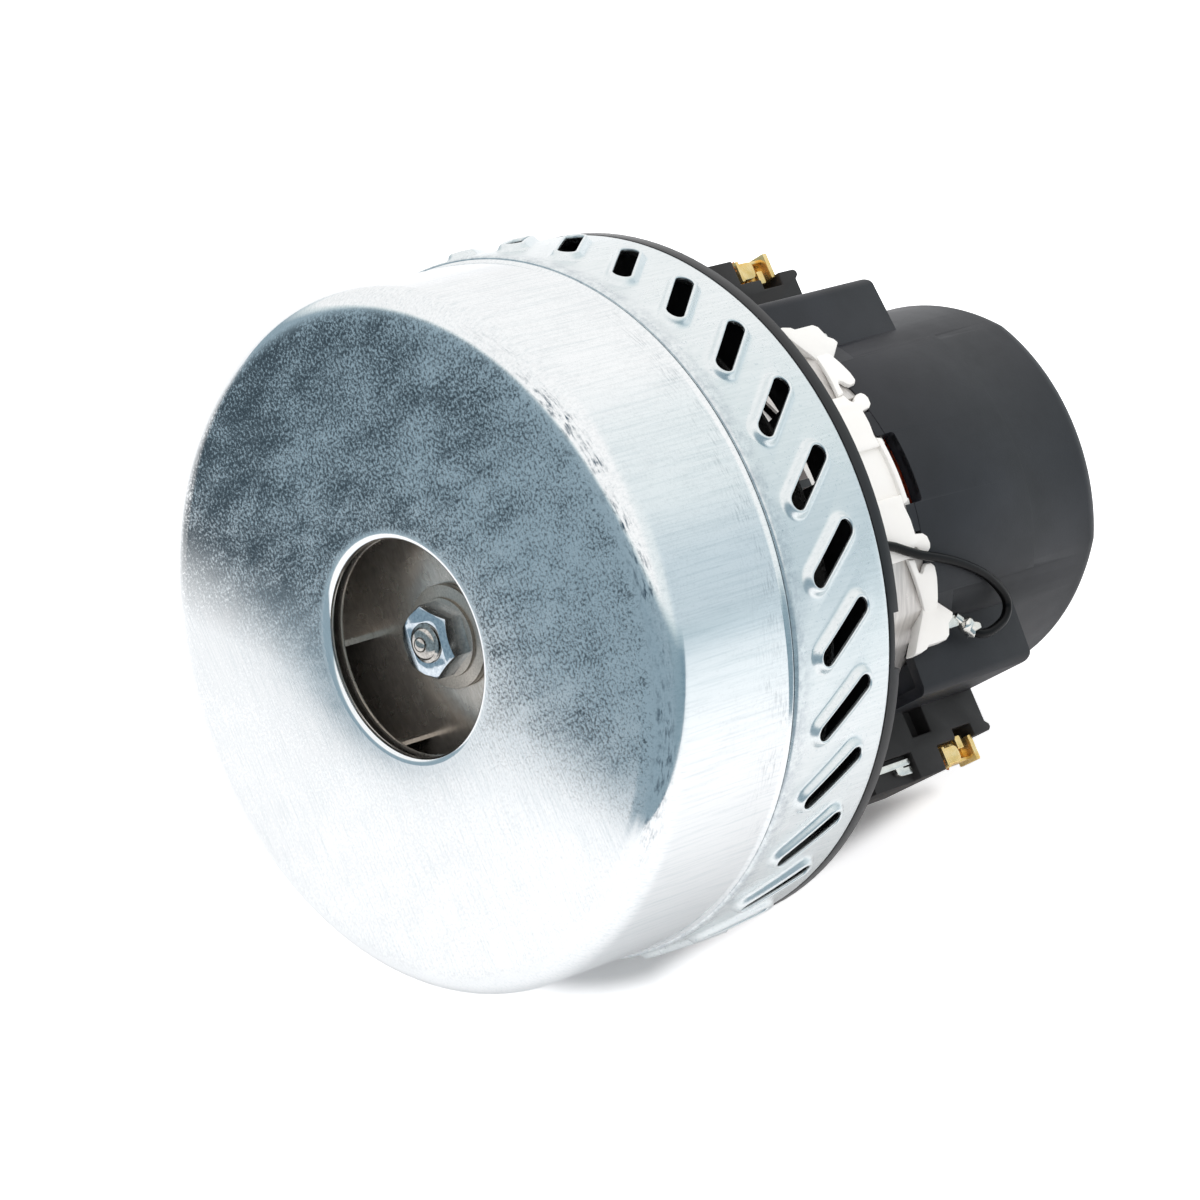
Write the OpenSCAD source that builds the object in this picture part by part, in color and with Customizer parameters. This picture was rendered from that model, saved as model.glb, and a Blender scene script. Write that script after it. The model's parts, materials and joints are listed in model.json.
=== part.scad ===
// Two-stage bypass vacuum motor, standing on its inlet face.
// Z runs along the shaft from the inlet to the rear cover, X along the two brushes.

/* [Fan case] */
// Outside radius of the fan cover
cover_r = 71; // [64:0.5:80]
// Thickness of the cover, ring and guide sheet
sheet_t = 0.9; // [0.7:0.1:1.2]
// Outer radius of the bend between the cover's face and side
cover_bend = 6.7; // [4:0.1:9]
// Radius of the inlet inside its turned lip
inlet_r = 21.85; // [18:0.05:24]
// Outer radius of the bend of the inlet lip
lip_bend = 2; // [1.5:0.1:2.4]
// Depth of the inlet lip behind the face
lip_depth = 3; // [2.6:0.1:3.4]
// Height of the seam between the cover and the louvre ring
seam_z = 35; // [33:0.5:37]
// Length of the cover's spigot inside the louvre ring
spigot_l = 4; // [2:0.5:5]
// Depth of the rolled groove in front of the seam
groove_d = 0.45; // [0.2:0.05:0.6]
// Length of the rolled groove in front of the seam
groove_l = 3; // [2:0.2:5]
// Length of the louvre ring
ring_l = 27; // [25:0.5:32]

/* [Louvres] */
// Number of louvre slots
slot_n = 30; // [20:1:32]
// Overall length of a slot
slot_l = 16.2; // [12:0.2:17]
// Width of a slot
slot_w = 3.6; // [2.5:0.1:4.2]
// Slant of a slot away from the shaft's direction
slot_slant = 37; // [20:1:42]
// Distance of the slot centres behind the seam
slot_off = 13; // [12:0.5:15]
// Turn of the first slot from the brush line
slot_turn = 7.4; // [0:0.1:12]
// Height of the raised rim round a slot
collar_h = 1.5; // [0.6:0.1:2]
// Width of the rim's flat edge
collar_edge = 0.5; // [0.3:0.1:0.8]
// Run of the rim's sloping flank
collar_run = 1.3; // [0.6:0.1:1.6]

/* [Impellers] */
// Clear ring between the impellers and the cover's side
imp_gap = 6.1; // [5:0.1:10]
// Thickness of an impeller disc
imp_t = 0.8; // [0.6:0.1:1]
// Thickness of an impeller vane
vane_t = 0.8; // [0.6:0.1:1.2]
// Number of vanes in an impeller
vane_n = 6; // [5:1:9]
// Slope of a vane's inner end from the circle round the shaft
vane_angle = 42; // [36:1:48]
// Turn of the first vane's inner end from the brush line
vane_turn = -70; // [-90:1:90]
// Radius of the arc of an impeller vane
vane_arc = 46; // [40:1:60]
// Height of the first impeller from eye to back disc
imp1_h = 9.9; // [9:0.1:11]
// Height of the second impeller from eye to back disc
imp2_h = 15.6; // [14:0.1:17]
// Fall of an impeller's front disc from eye to edge
imp_fall = 2.2; // [1:0.1:3]
// Length of an impeller's eye neck
neck_l = 1.6; // [1.2:0.1:2]
// Running gap in front of an impeller's eye
eye_gap = 0.6; // [0.4:0.1:1]
// Running gap behind an impeller's back disc
back_gap = 1.5; // [1:0.1:2.5]
// Clear height of the guide between the stages
guide_h = 19.9; // [18:0.1:22]
// Number of guide vanes
guide_n = 8; // [6:1:10]
// Clear ring round the guide's front disc
guide_gap = 7.6; // [6:0.1:12]

/* [Shaft] */
// Radius of the shaft in the impellers and the rear bearing
shaft_r = 4; // [3.5:0.1:4.2]
// Radius of the shaft in the front bearing and the cooling fan
journal_r = 5; // [4.6:0.1:5.2]
// Radius of the shaft in the armature
armature_shaft_r = 6; // [5.6:0.1:6.6]
// Width of the lock nut across its flats
nut_af = 13; // [12:0.5:14]
// Height of the lock nut
nut_h = 5; // [4:0.2:5.2]
// Outside radius of the clamp washer
washer_r = 10.5; // [9:0.5:12]
// Thickness of the clamp washer
washer_t = 1.5; // [1:0.1:2]
// Outside radius of the thin washer under the nut
shim_r = 8; // [7.6:0.2:8.6]
// Thickness of the thin washer under the nut
shim_t = 0.8; // [0.5:0.1:1]
// Outside radius of the spacers
spacer_r = 7; // [6.4:0.1:7.4]

/* [Bearings] */
// Outside radius of the front bearing
bearing_f_r = 13; // [12.5:0.5:14]
// Width of the front bearing
bearing_f_w = 8; // [7:0.5:9]
// Outside radius of the rear bearing
bearing_r_r = 11; // [10.5:0.5:12]
// Width of the rear bearing
bearing_r_w = 7; // [6:0.5:7.5]
// Radius of the balls
ball_r = 1.6; // [1.3:0.1:1.7]
// Number of balls in a bearing
ball_n = 8; // [6:1:9]

/* [Bracket] */
// Height of the bracket's outer rim
rim_h = 2.7; // [2:0.1:4]
// Thickness of the bracket's plate
plate_t = 5; // [4:0.5:6]
// Wall of the bearing cup
cup_wall = 4; // [3:0.5:5]
// Radius of the posts that carry the stator
post_r = 4; // [3.5:0.5:5]
// Height of the bracket's air wall above the plate
air_wall_h = 5; // [3:0.5:8]
// Thickness of the bearing retainer
retainer_t = 1.2; // [0.8:0.1:1.6]
// Depth of the notch in the bracket's rim
notch_d = 1.4; // [0.8:0.1:1.8]

/* [Stator and armature] */
// Distance of the stator core behind the bracket's plate
core_off = 20; // [18:0.5:24]
// Length of the stator core
core_l = 21.5; // [18:0.5:26]
// Radius of the stator core
core_r = 41.5; // [38:0.1:46]
// Height of the core's corner lobes
lobe_h = 1.7; // [1.2:0.1:1.9]
// Depth of the core's flat brush sides
core_side = 7.5; // [7:0.1:8.5]
// Radius of the armature core as a share of the stator core's radius
armature_share = 0.53; // [0.5:0.005:0.535]
// Air gap between the armature and the poles
air_gap = 0.6; // [0.4:0.1:0.8]
// Thickness of a pole shoe as a share of the core's radius
shoe_share = 0.0867; // [0.075:0.001:0.095]
// Half width of a pole as a share of the core's radius
pole_share = 0.325; // [0.3:0.005:0.33]
// Number of armature slots and commutator bars
bar_n = 12; // [10:1:16]
// Radius of the commutator
comm_r = 12.5; // [11:0.5:13]
// Length of the commutator
comm_l = 20; // [18:0.5:22]
// Radius of a field coil's wire bundle as a share of the core's radius
coil_share = 0.0205; // [0.018:0.0005:0.021]
// Clear distance between neighbouring loops of a field coil
coil_gap = 0.5; // [0.4:0.05:0.6]
// Clear distance between the layers of a field coil
layer_gap = 0.6; // [0.5:0.05:0.7]
// Height of the end turns of the armature winding
end_turn = 9; // [7:0.5:9.5]

/* [End frames] */
// Thickness of the end frames' plates
frame_t = 2; // [1.6:0.2:3]
// Thickness of the end frames' skirts round the core
skirt_t = 2.7; // [2.3:0.1:3]
// Length of the rear frame's skirt in front of the rear cover
skirt_l = 13; // [8:0.5:14]
// Height of the wall that carries the wire clips
hook_h = 3.8; // [3:0.2:4]
// Turn of a wire clip's gap from the brush line
clip_turn = 65; // [63:0.5:66]
// Height of a terminal pocket
pocket_h = 9; // [7:0.5:10]

/* [Rear cover] */
// Step from the skirts in to the rear cover's side
dome_step = 0.8; // [0.6:0.1:1.2]
// Wall of the rear cover
dome_wall = 2.2; // [1.8:0.1:2.6]
// Radius of the rear cover's rounded rear edge
dome_bend = 5; // [3:0.5:8]
// Distance from the core to the rear cover's back face
dome_l = 59.3; // [57:0.1:62]
// Step from the skirts in to the raised side panels
panel_step = 0.2; // [0.1:0.1:0.4]
// Depth of the rear cover's flatter brush sides
flat_step = 3.8; // [2.6:0.1:4.4]
// Radius of the rear cover's flatter brush sides
dome_side = 50; // [46:1:60]
// Distance of the brush hoods' outer faces beyond the core's radius
hood_out = 2.5; // [1.5:0.1:3.5]
// Half width of a brush hood as a share of the core's radius
hood_share = 0.68; // [0.63:0.01:0.69]
// Distance of the hoods' rear ends behind the core
hood_back = 32.4; // [31:0.2:34]
// Distance of the raised panels' rear ends behind the hoods
panel_back = 3.1; // [2:0.1:5]
// Length of a brush hood in front of its rear end
hood_l = 43; // [40:0.5:45]
// Radius of a brush hood's rounded edges
hood_round = 2; // [1:0.2:3]
// Number of air slots in the back face
grille_n = 14; // [10:1:18]
// Width of an air slot in the back face
grille_w = 4.4; // [3:0.2:5]
// Number of cooling fan blades
blade_n = 11; // [8:1:14]
// Clear ring round the cooling fan
fan_gap = 3.4; // [2:0.1:6]
// Height of the cooling fan
fan_h = 12; // [10:0.5:12.5]

/* [Brushes] */
// Width of a brush across the shaft
brush_w = 6.5; // [5.5:0.1:7]
// Width of a brush along the shaft
brush_h = 9.5; // [8:0.1:10]
// Length of a brush
brush_l = 28; // [24:0.5:30]
// Wall of a brush tube
tube_wall = 0.6; // [0.5:0.1:0.8]
// Distance of the brushes behind the core
brush_off = 20.5; // [19.5:0.1:21.5]
// Distance of a brush tube's outer end beyond the hood
tube_out = 12.5; // [11:0.1:13]
// Half width of a brush holder
holder_y = 10; // [9:0.5:11]
// Distance of the holder's rear edge beyond the hood
lip_out = 9.6; // [8.5:0.1:10]
// Distance of the holder's front block beyond the hood
block_out = 14.4; // [13.4:0.1:16]
// Wire radius of a brush spring
spring_wire_r = 0.4; // [0.3:0.05:0.45]
// Number of curls in a brush spring
spring_n = 6; // [4:1:7]

/* [Lead] */
// Radius of the lead wire
lead_r = 1; // [0.8:0.05:1.1]

/* [Hidden] */
$fn = 96;
// Radial play between fixed pieces that fit into each other
fit = 0.05;
// Radial play of a brush in its tube
slide_play = 0.15;
// Clear distance between a fixed piece and a turning or wound one
clear = 0.5;
// Clear distance between fixed pieces that lie side by side
seat = 0.2;
ring_r = cover_r + sheet_t + fit + 0.05;
rim_z = seam_z + ring_l;
ring_in = ring_r - sheet_t;
cover_in = cover_r - sheet_t;
imp_r = cover_in - imp_gap;
guide_r = cover_in - guide_gap;
// Stack of the two stages along the shaft
imp1_z = lip_depth + eye_gap;
imp1_back = imp1_z + imp1_h;
guide_z = imp1_back + imp_t + back_gap;
guide_back = guide_z + sheet_t + guide_h;
imp2_z = guide_back + sheet_t + eye_gap;
imp2_back = imp2_z + imp2_h;
eye_r = inlet_r + 0.05;
washer_z = imp1_back - washer_t;
shim_z = washer_z - shim_t;
nut_z = shim_z - nut_h;
shoulder_z = imp2_back + imp_t;
// Bracket and front bearing
plate_z = rim_z - plate_t;
bearing_f_z = plate_z + plate_t - 1.5;
cup_z = bearing_f_z + bearing_f_w;
cup_r = bearing_f_r + cup_wall;
// Stator
core_z = rim_z + core_off;
core_end = core_z + core_l;
core_flat = core_r - core_side;
lobe_r = core_r + lobe_h;
skirt_r = core_r + skirt_t;
armature_r = armature_share * core_r;
shoe_t = shoe_share * core_r;
pole_w = pole_share * core_r;
coil_wire_r = coil_share * core_r;
coil_step = 2 * coil_wire_r + coil_gap;
coil_layer = 2 * coil_wire_r + layer_gap;
bore_r = armature_r + air_gap;
coil_w = 3;
coil_layers = 3;
coil_half_w = pole_w + clear + coil_wire_r;
coil_half_h = core_l / 2 + 2 * frame_t + 2 * clear + coil_wire_r;
coil_mid = (core_z + core_end) / 2;
coil_y0 = bore_r + shoe_t + clear + coil_wire_r;
window_x = coil_half_w + coil_w * coil_step + coil_wire_r + clear;
window_y = coil_y0 + (coil_layers - 1) * coil_layer + coil_wire_r + clear;
screw_x = 0.663 * core_r;
screw_y = 0.554 * core_r;
screw_r = 2;
post_top = core_z - 2 * frame_t;
// Rear cover
dome_r = skirt_r - dome_step;
dome_flat = dome_r - flat_step;
hood_x = core_r + hood_out;
hood_y = hood_share * core_r;
dome_end = core_end + dome_l;
cover_edge = core_end - 1.5;
hook_edge = core_end + hook_h + 0.4;
hood_end = core_end + hood_back;
hood_z = hood_end - hood_l;
panel_end = hood_end + panel_back;
// Commutator and brushes
brush_z = core_end + brush_off;
tube_end = hood_x + tube_out;
holder_x = hood_x + lip_out;
block_x = hood_x + block_out;
comm_z = brush_z - comm_l / 2;
brush_in = comm_r + slide_play;
tube_y = brush_w + 2 * slide_play + 2 * tube_wall;
tube_z = brush_h + 2 * slide_play + 2 * tube_wall;
tube_in = comm_r + 2;
holder_in = armature_r - 1;
holder_front = core_end - 5.5;
holder_end = hood_end - 1.6;
block_end = brush_z - tube_z / 2 - 0.6;
clip_x = tube_end + 1.6;
clip_y = holder_y - 0.8;
clip_floor = tube_end - 3.5;
lip_x = holder_x - 1.4;
fork_x = tube_end - 3.2;
fork_end = holder_front + 10.8;
spring_x = brush_in + brush_l;
// Rear bearing and cooling fan
boss_r = bearing_r_r + 2.5;
bearing_r_z = dome_end - dome_wall - 1 - bearing_r_w;
fan_z = bearing_r_z - 2 - fan_h;
fan_r = dome_flat - dome_wall - fan_gap;
shaft_end = bearing_r_z + bearing_r_w + 0.8;
// Terminal pockets beside the brush hoods
pocket_x0 = 0.641 * core_r;
pocket_x1 = 0.872 * core_r;
pocket_y0 = 0.723 * core_r;
pocket_y1 = 0.834 * core_r;
pocket_z0 = core_end - 1.5;
pocket_z1 = core_end + pocket_h + 1.5;
tab_w = 2.4;
tab_t = 0.8;
tab_x = -0.771 * core_r;
tab_mid = 0.795 * core_r;
tab_y = tab_mid - tab_t / 2;
tab_end = pocket_z1 + 0.9;
crimp_r = lead_r + 0.6;
crimp_l = 2.9;
crimp_tilt = -49;
crimp_at = [tab_x - 1, tab_mid, tab_end + 0.5];
// Corners of the core's lobes
lobe_from = 67;
lobe_edge = 51.5;
lobe_y = sqrt(lobe_r * lobe_r - core_flat * core_flat);

// Lead route, from the front frame over the rear cover to its crimp beside the brush hood.
// Across the shaft in shares of the skirt's radius, along it from the core's front and rear ends.
LEAD_FRONT = [[-0.258, 0.864, -1.8], [-0.269, 0.914, -1.8], [-0.278, 0.959, -1.2], [-0.285, 0.982, 0.6],
    [-0.294, 0.989, 3.5], [-0.312, 0.984, 7.5], [-0.339, 0.973, 12], [-0.376, 0.959, 16]];
LEAD_REAR = [[-0.412, 0.946, -1.3], [-0.443, 0.932, 3.5], [-0.482, 0.912, 8.8], [-0.529, 0.885, 14],
    [-0.575, 0.855, 18.3], [-0.629, 0.819, 22], [-0.679, 0.787, 24.5], [-0.719, 0.765, 25.5],
    [-0.756, 0.751, 25.1], [-0.79, 0.747, 23.3], [-0.812, 0.747, 20.5], [-0.823, 0.747, 17.7],
    [-0.819, 0.747, 15.5]];
LEAD_END = [[-2.65, 0, 2.3], [-1.9, 0, 1.65], [-1.2, 0, 1]];
LEAD = concat([for (p = LEAD_FRONT) [p[0] * skirt_r, p[1] * skirt_r, core_z + p[2] * core_l / 21.5]],
    [for (p = LEAD_REAR) [p[0] * skirt_r, p[1] * skirt_r, core_end + p[2]]],
    [for (p = LEAD_END) crimp_at + p]);

zinc = "#c9ced2";
black = "#34363b";
ivory = "#efe9df";
brass_tone = "#d9a441";
steel = "#9aa0a5";

function unit(v) = v / norm(v);
function polar(r, a) = r * [cos(a), sin(a)];

// Ring of material between two radii
module tube(r0, r1, z0, z1) {
    translate([0, 0, z0])
        difference() {
            cylinder(r = r1, h = z1 - z0);
            translate([0, 0, -1])
                cylinder(r = r0, h = z1 - z0 + 2);
        }
}

// Part of a ring between two turns
module arc_wall(r0, r1, a0, a1, z0, z1) {
    translate([0, 0, z0])
        rotate([0, 0, a0])
            rotate_extrude(angle = a1 - a0)
                translate([r0, 0])
                    square([r1 - r0, z1 - z0]);
}

// Round tube swept along points, with a reference direction for each point
module sweep(P, ref, r, n) {
    k = len(P);
    pts = [for (i = [0:k - 1])
        let (t = unit(P[min(i + 1, k - 1)] - P[max(i - 1, 0)]))
        let (u = unit(ref[i] - t * (ref[i] * t)))
        let (v = cross(t, u))
        for (j = [0:n - 1]) P[i] + r * (cos(360 * j / n) * u + sin(360 * j / n) * v)];
    side = [for (i = [0:k - 2]) for (j = [0:n - 1])
        let (a = i * n + j)
        let (b = i * n + (j + 1) % n)
        for (f = [[a, a + n, b + n], [a, b + n, b]]) f];
    first = [for (j = [1:n - 2]) [0, j, j + 1]];
    last = [for (j = [1:n - 2]) [(k - 1) * n, (k - 1) * n + j + 1, (k - 1) * n + j]];
    polyhedron(pts, concat(side, first, last));
}

// Least clear distance of a tube to itself, measured on its points
function least_gap(P, r, skip) =
    min([for (i = [0:len(P) - 1]) for (j = [i + skip:1:len(P) - 1]) norm(P[i] - P[j])]) - 2 * r;

// Sheet profile of the cover: face with a turned lip, bend and side
module cover_profile() {
    difference() {
        union() {
            translate([inlet_r, 0])
                square([cover_r - cover_bend - inlet_r, lip_depth]);
            translate([cover_r - cover_bend, cover_bend])
                circle(r = cover_bend);
            translate([cover_r - cover_bend, cover_bend])
                square([cover_bend, seam_z + spigot_l - cover_bend]);
        }
        translate([inlet_r - 1, -1])
            square([lip_bend + 1, lip_bend + 1]);
        translate([inlet_r + sheet_t, lip_bend])
            square([cover_r - cover_bend - inlet_r - sheet_t, lip_depth]);
        translate([inlet_r + lip_bend, sheet_t])
            square([cover_r - cover_bend - inlet_r - lip_bend, seam_z]);
        translate([cover_r - cover_bend - 1, cover_bend])
            square([cover_bend + 1 - sheet_t, seam_z + spigot_l]);
        translate([cover_r - cover_bend, cover_bend])
            circle(r = cover_bend - sheet_t);
    }
    intersection() {
        translate([inlet_r + lip_bend, lip_bend])
            difference() {
                circle(r = lip_bend);
                circle(r = lip_bend - sheet_t);
            }
        translate([inlet_r - 1, -1])
            square([lip_bend + 1, lip_bend + 1]);
    }
}

module fan_cover() {
    color(zinc)
        difference() {
            rotate_extrude()
                cover_profile();
            translate([0, 0, seam_z - groove_l])
                difference() {
                    cylinder(r = cover_r + 1, h = groove_l);
                    translate([0, 0, -1])
                        cylinder(r = cover_r - groove_d, h = groove_l + 2);
                }
        }
}

// Flank of a raised slot rim, from its foot inside the sheet to its edge
module collar_half() {
    polygon([[0, -0.6], [slot_w / 2 + collar_edge + collar_run, -0.6], [slot_w / 2 + collar_edge, collar_h],
        [0, collar_h]]);
}

module slot_collar() {
    run = slot_l - slot_w;
    for (s = [0, 180])
        rotate([0, 0, s])
            translate([run / 2, 0, 0])
                rotate([0, 0, -90])
                    rotate_extrude(angle = 180)
                        collar_half();
    translate([-run / 2, 0, 0])
        rotate([90, 0, 90])
            linear_extrude(run) {
                collar_half();
                mirror([1, 0])
                    collar_half();
            }
}

module slot_cut() {
    run = slot_l - slot_w;
    translate([0, 0, -4])
        linear_extrude(4 + collar_h + 1) {
            square([run, slot_w], center = true);
            for (s = [-1, 1])
                translate([s * run / 2, 0])
                    circle(r = slot_w / 2, $fn = 32);
        }
}

module at_slots() {
    for (i = [0:slot_n - 1])
        rotate([0, 0, slot_turn + i * 360 / slot_n])
            translate([ring_r, 0, seam_z + slot_off])
                rotate([0, 90, 0])
                    rotate([0, 0, slot_slant])
                        children();
}

module louvre_ring() {
    color(zinc)
        difference() {
            union() {
                tube(ring_in, ring_r, seam_z, rim_z);
                at_slots()
                    slot_collar();
            }
            at_slots()
                slot_cut();
        }
}

// One sheet vane as an arc between two radii, with its inner end on the X axis
module vane_plan(r0, r1, arc, t) {
    mid = [r0 - arc * cos(vane_angle), arc * sin(vane_angle)];
    intersection() {
        translate(mid)
            difference() {
                circle(r = arc + t / 2);
                circle(r = arc - t / 2);
            }
        difference() {
            circle(r = r1);
            circle(r = r0);
        }
        rotate([0, 0, atan2(mid[1], mid[0])])
            translate([-2 * r1, -2 * r1])
                square([4 * r1, 2 * r1]);
    }
}

module vane_set(n, r0, r1, arc, t, h) {
    for (i = [0:n - 1])
        rotate([0, 0, i * 360 / n])
            linear_extrude(h)
                vane_plan(r0, r1, arc, t);
}

// Front disc with its eye neck, falling toward the rim
module impeller_front(z) {
    neck_r = eye_r + neck_l;
    translate([0, 0, z])
        rotate_extrude()
            union() {
                intersection() {
                    translate([neck_r, 0])
                        difference() {
                            circle(r = neck_l);
                            circle(r = neck_l - imp_t);
                        }
                    translate([eye_r - 1, 0])
                        square([neck_l + 1, neck_l + 1]);
                }
                polygon([[neck_r, neck_l - imp_t], [imp_r, neck_l - imp_t + imp_fall], [imp_r, neck_l + imp_fall],
                    [neck_r, neck_l]]);
            }
}

// Space between the discs of an impeller
module impeller_space(z, h) {
    neck_r = eye_r + neck_l;
    translate([0, 0, z])
        rotate_extrude()
            polygon([[neck_r, neck_l + fit], [imp_r - 0.5, neck_l + imp_fall + fit], [imp_r - 0.5, h - fit],
                [neck_r, h - fit]]);
}

module impeller_vanes(z, h) {
    intersection() {
        translate([0, 0, z])
            rotate([0, 0, vane_turn])
                vane_set(vane_n, eye_r + neck_l + 0.2, imp_r - 1, vane_arc, vane_t, h);
        impeller_space(z, h);
    }
}

module impeller_back(z) {
    tube(shaft_r + fit, imp_r, z, z + imp_t);
}

module impeller_1_front() {
    color("#a79a8c")
        impeller_front(imp1_z);
}

module impeller_1_vanes() {
    color("#a79a8c")
        impeller_vanes(imp1_z, imp1_h);
}

module impeller_1_back() {
    color("#a79a8c")
        impeller_back(imp1_back);
}

module impeller_2_front() {
    color("#a79a8c")
        impeller_front(imp2_z);
}

module impeller_2_vanes() {
    color("#a79a8c")
        impeller_vanes(imp2_z, imp2_h);
}

module impeller_2_back() {
    color("#a79a8c")
        impeller_back(imp2_back);
}

// Fixed guide that turns the air back to the second eye
module stage_guide() {
    color(steel) {
        tube(inlet_r, cover_in - fit, guide_back, guide_back + sheet_t);
        tube(cover_in - fit - sheet_t, cover_in - fit, guide_z + 2, guide_back);
        tube(spacer_r + 2, guide_r, guide_z, guide_z + sheet_t);
        translate([0, 0, guide_z + sheet_t])
            mirror([0, 1, 0])
                vane_set(guide_n, inlet_r + 3, guide_r - 1, vane_arc, vane_t, guide_h);
    }
}

module post_places() {
    for (x = [-1, 1])
        for (y = [-1, 1])
            translate([x * screw_x, y * screw_y, 0])
                children();
}

// Black bracket: plate behind the second stage, rim, bearing cup and stator posts
module motor_bracket() {
    color(black)
        difference() {
            union() {
                translate([0, 0, plate_z])
                    cylinder(r = ring_in - fit, h = plate_t);
                tube(ring_r - 6, ring_r, rim_z, rim_z + rim_h);
                cylinder_at(cup_r, plate_z, cup_z);
                tube(lobe_r + 3, lobe_r + 5.4, rim_z - 1, rim_z + air_wall_h);
                post_places()
                    cylinder_at(post_r, rim_z - 1, post_top);
                for (i = [0:11])
                    rotate([0, 0, i * 30])
                        translate([lobe_r + 5, -0.8, rim_z - 1])
                            cube([ring_r - 5 - lobe_r - 5, 1.6, 1 + rim_h]);
            }
            translate([0, 0, plate_z - 1])
                cylinder(r = spacer_r + 1.4, h = plate_t + 20);
            translate([0, 0, bearing_f_z])
                cylinder(r = bearing_f_r + fit, h = 30);
            tube(cup_r + 3, lobe_r + 2, plate_z + 2.4, rim_z - 0.2);
            post_places()
                translate([0, 0, rim_z])
                    cylinder(r = screw_r + fit, h = 40);
            for (s = [0, 180])
                rotate([0, 0, s]) {
                    rim_notch();
                    for (a = [74.6, 88.6])
                        air_window(a);
                }
        }
}

// Small window through the bracket's plate, behind the louvres
module air_window(a) {
    arc_wall(ring_r - 15, ring_r - 6.6, a - 2.4, a + 3.2, plate_z - 1, rim_z + rim_h + 1);
}

module cylinder_at(r, z0, z1) {
    translate([0, 0, z0])
        cylinder(r = r, h = z1 - z0);
}

// Shallow gap in the bracket's rim
module rim_notch() {
    arc_wall(ring_r - 8, ring_r + 1, 115.2, 124.4, rim_z + rim_h - notch_d, rim_z + rim_h + 1);
}

// Outer ring with shields and balls
module bearing_outer(r, bore, w, z) {
    pitch_r = (r + bore) / 2;
    race_r = pitch_r + ball_r + 0.3;
    difference() {
        tube(pitch_r - ball_r + 0.1, r, z, z + w);
        translate([0, 0, z + 0.6])
            cylinder(r = race_r, h = w - 1.2);
    }
    for (i = [0:ball_n - 1])
        rotate([0, 0, i * 360 / ball_n])
            translate([pitch_r, 0, z + w / 2])
                sphere(r = ball_r, $fn = 32);
}

module bearing_inner(r, bore, w, z) {
    tube(bore, (r + bore) / 2 - ball_r - 0.3, z, z + w);
}

module front_bearing() {
    color(steel)
        bearing_outer(bearing_f_r, journal_r, bearing_f_w, bearing_f_z);
}

module front_bearing_race() {
    color(steel)
        bearing_inner(bearing_f_r, journal_r + 0.02, bearing_f_w, bearing_f_z);
}

module rear_bearing() {
    color(steel)
        bearing_outer(bearing_r_r, shaft_r, bearing_r_w, bearing_r_z);
}

module rear_bearing_race() {
    color(steel)
        bearing_inner(bearing_r_r, shaft_r + 0.02, bearing_r_w, bearing_r_z);
}

module bearing_retainer() {
    color(steel)
        tube(bearing_f_r - 2.5, cup_r - 0.5, cup_z, cup_z + retainer_t);
}

// Outline of the stator core and its end frames: yoke, poles, windows and bore
module core_plan(grow) {
    difference() {
        intersection() {
            circle(r = core_r + grow);
            square([2 * core_flat, 4 * core_r], center = true);
        }
        circle(r = bore_r);
        for (m = [0, 1])
            mirror([m, 0])
                difference() {
                    translate([pole_w, -window_y])
                        square([window_x - pole_w, 2 * window_y]);
                    circle(r = bore_r + shoe_t);
                }
        square([2 * window_x, 2 * (bore_r * 0.4)], center = true);
    }
}

// Corner lobes of the core with two flat facets each, seen between the frames
module core_lobes() {
    four_corners()
        translate([0, 0, core_z])
            linear_extrude(core_l)
                polygon([polar(lobe_r, lobe_from), polar(lobe_r + 0.5, lobe_edge), [core_flat, lobe_y],
                    [core_flat - 4, lobe_y - 1], polar(core_r - 0.4, lobe_edge), polar(core_r - 0.4, lobe_from)]);
}

// Repeats a corner feature in all four quarters
module four_corners() {
    for (s = [0, 180])
        for (m = [0, 1])
            rotate([0, 0, s])
                mirror([m, 0, 0])
                    children();
}

module stator_core() {
    color("#b9bcc0")
        difference() {
            union() {
                translate([0, 0, core_z])
                    linear_extrude(core_l)
                        core_plan(0);
                core_lobes();
            }
            post_places()
                translate([0, 0, core_z - 1])
                    cylinder(r = screw_r + fit, h = core_l + 2);
        }
}

module stator_screws() {
    color(steel)
        post_places() {
            cylinder_at(screw_r, rim_z + 2, core_end + frame_t);
            cylinder_at(screw_r + 1.4, core_end + frame_t, core_end + frame_t + 2.2);
        }
}

// Rounded rectangle loop of a coil as 24 points, grown outward by d
function loop_point(q, w, h, r, d) =
    let (side = floor(q / 6))
    let (k = q - 6 * side)
    let (cx = (side == 0 || side == 3 ? 1 : -1) * (w - r))
    let (cy = (side < 2 ? 1 : -1) * (h - r))
    let (a = side * 90 + min(k, 4) * 22.5)
    let (c = [cx + (r + d) * cos(a), cy + (r + d) * sin(a)])
    k < 5 ? c : side == 0 ? [0, h + d] : side == 1 ? [-w - d, 0] : side == 2 ? [0, -h - d] : [w + d, 0];

function coil_grow(t) =
    let (layer = min(floor(t / coil_w), coil_layers - 1))
    let (s = t - layer * coil_w)
    (layer % 2 == 0 ? s : coil_w - s) * coil_step;
function coil_lift(t) =
    let (n = floor(t / coil_w + 0.5))
    let (s = (t - n * coil_w) * 2 + 0.5)
    let (m = n == 0 || n == coil_layers ? 0 : max(0, min(1, s)))
    (n == 0 ? 0 : n == coil_layers ? coil_layers - 1 : n - 1 + m) * coil_layer;
coil_points = [for (i = [0:24 * coil_w * coil_layers])
    let (t = i / 24)
    let (p = loop_point(i % 24, coil_half_w, coil_half_h, 2.5, coil_grow(t)))
    [p[0], coil_y0 + coil_lift(t), coil_mid + p[1]]];
echo(field_coil_least_gap = least_gap(coil_points, coil_wire_r, 8));

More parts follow.
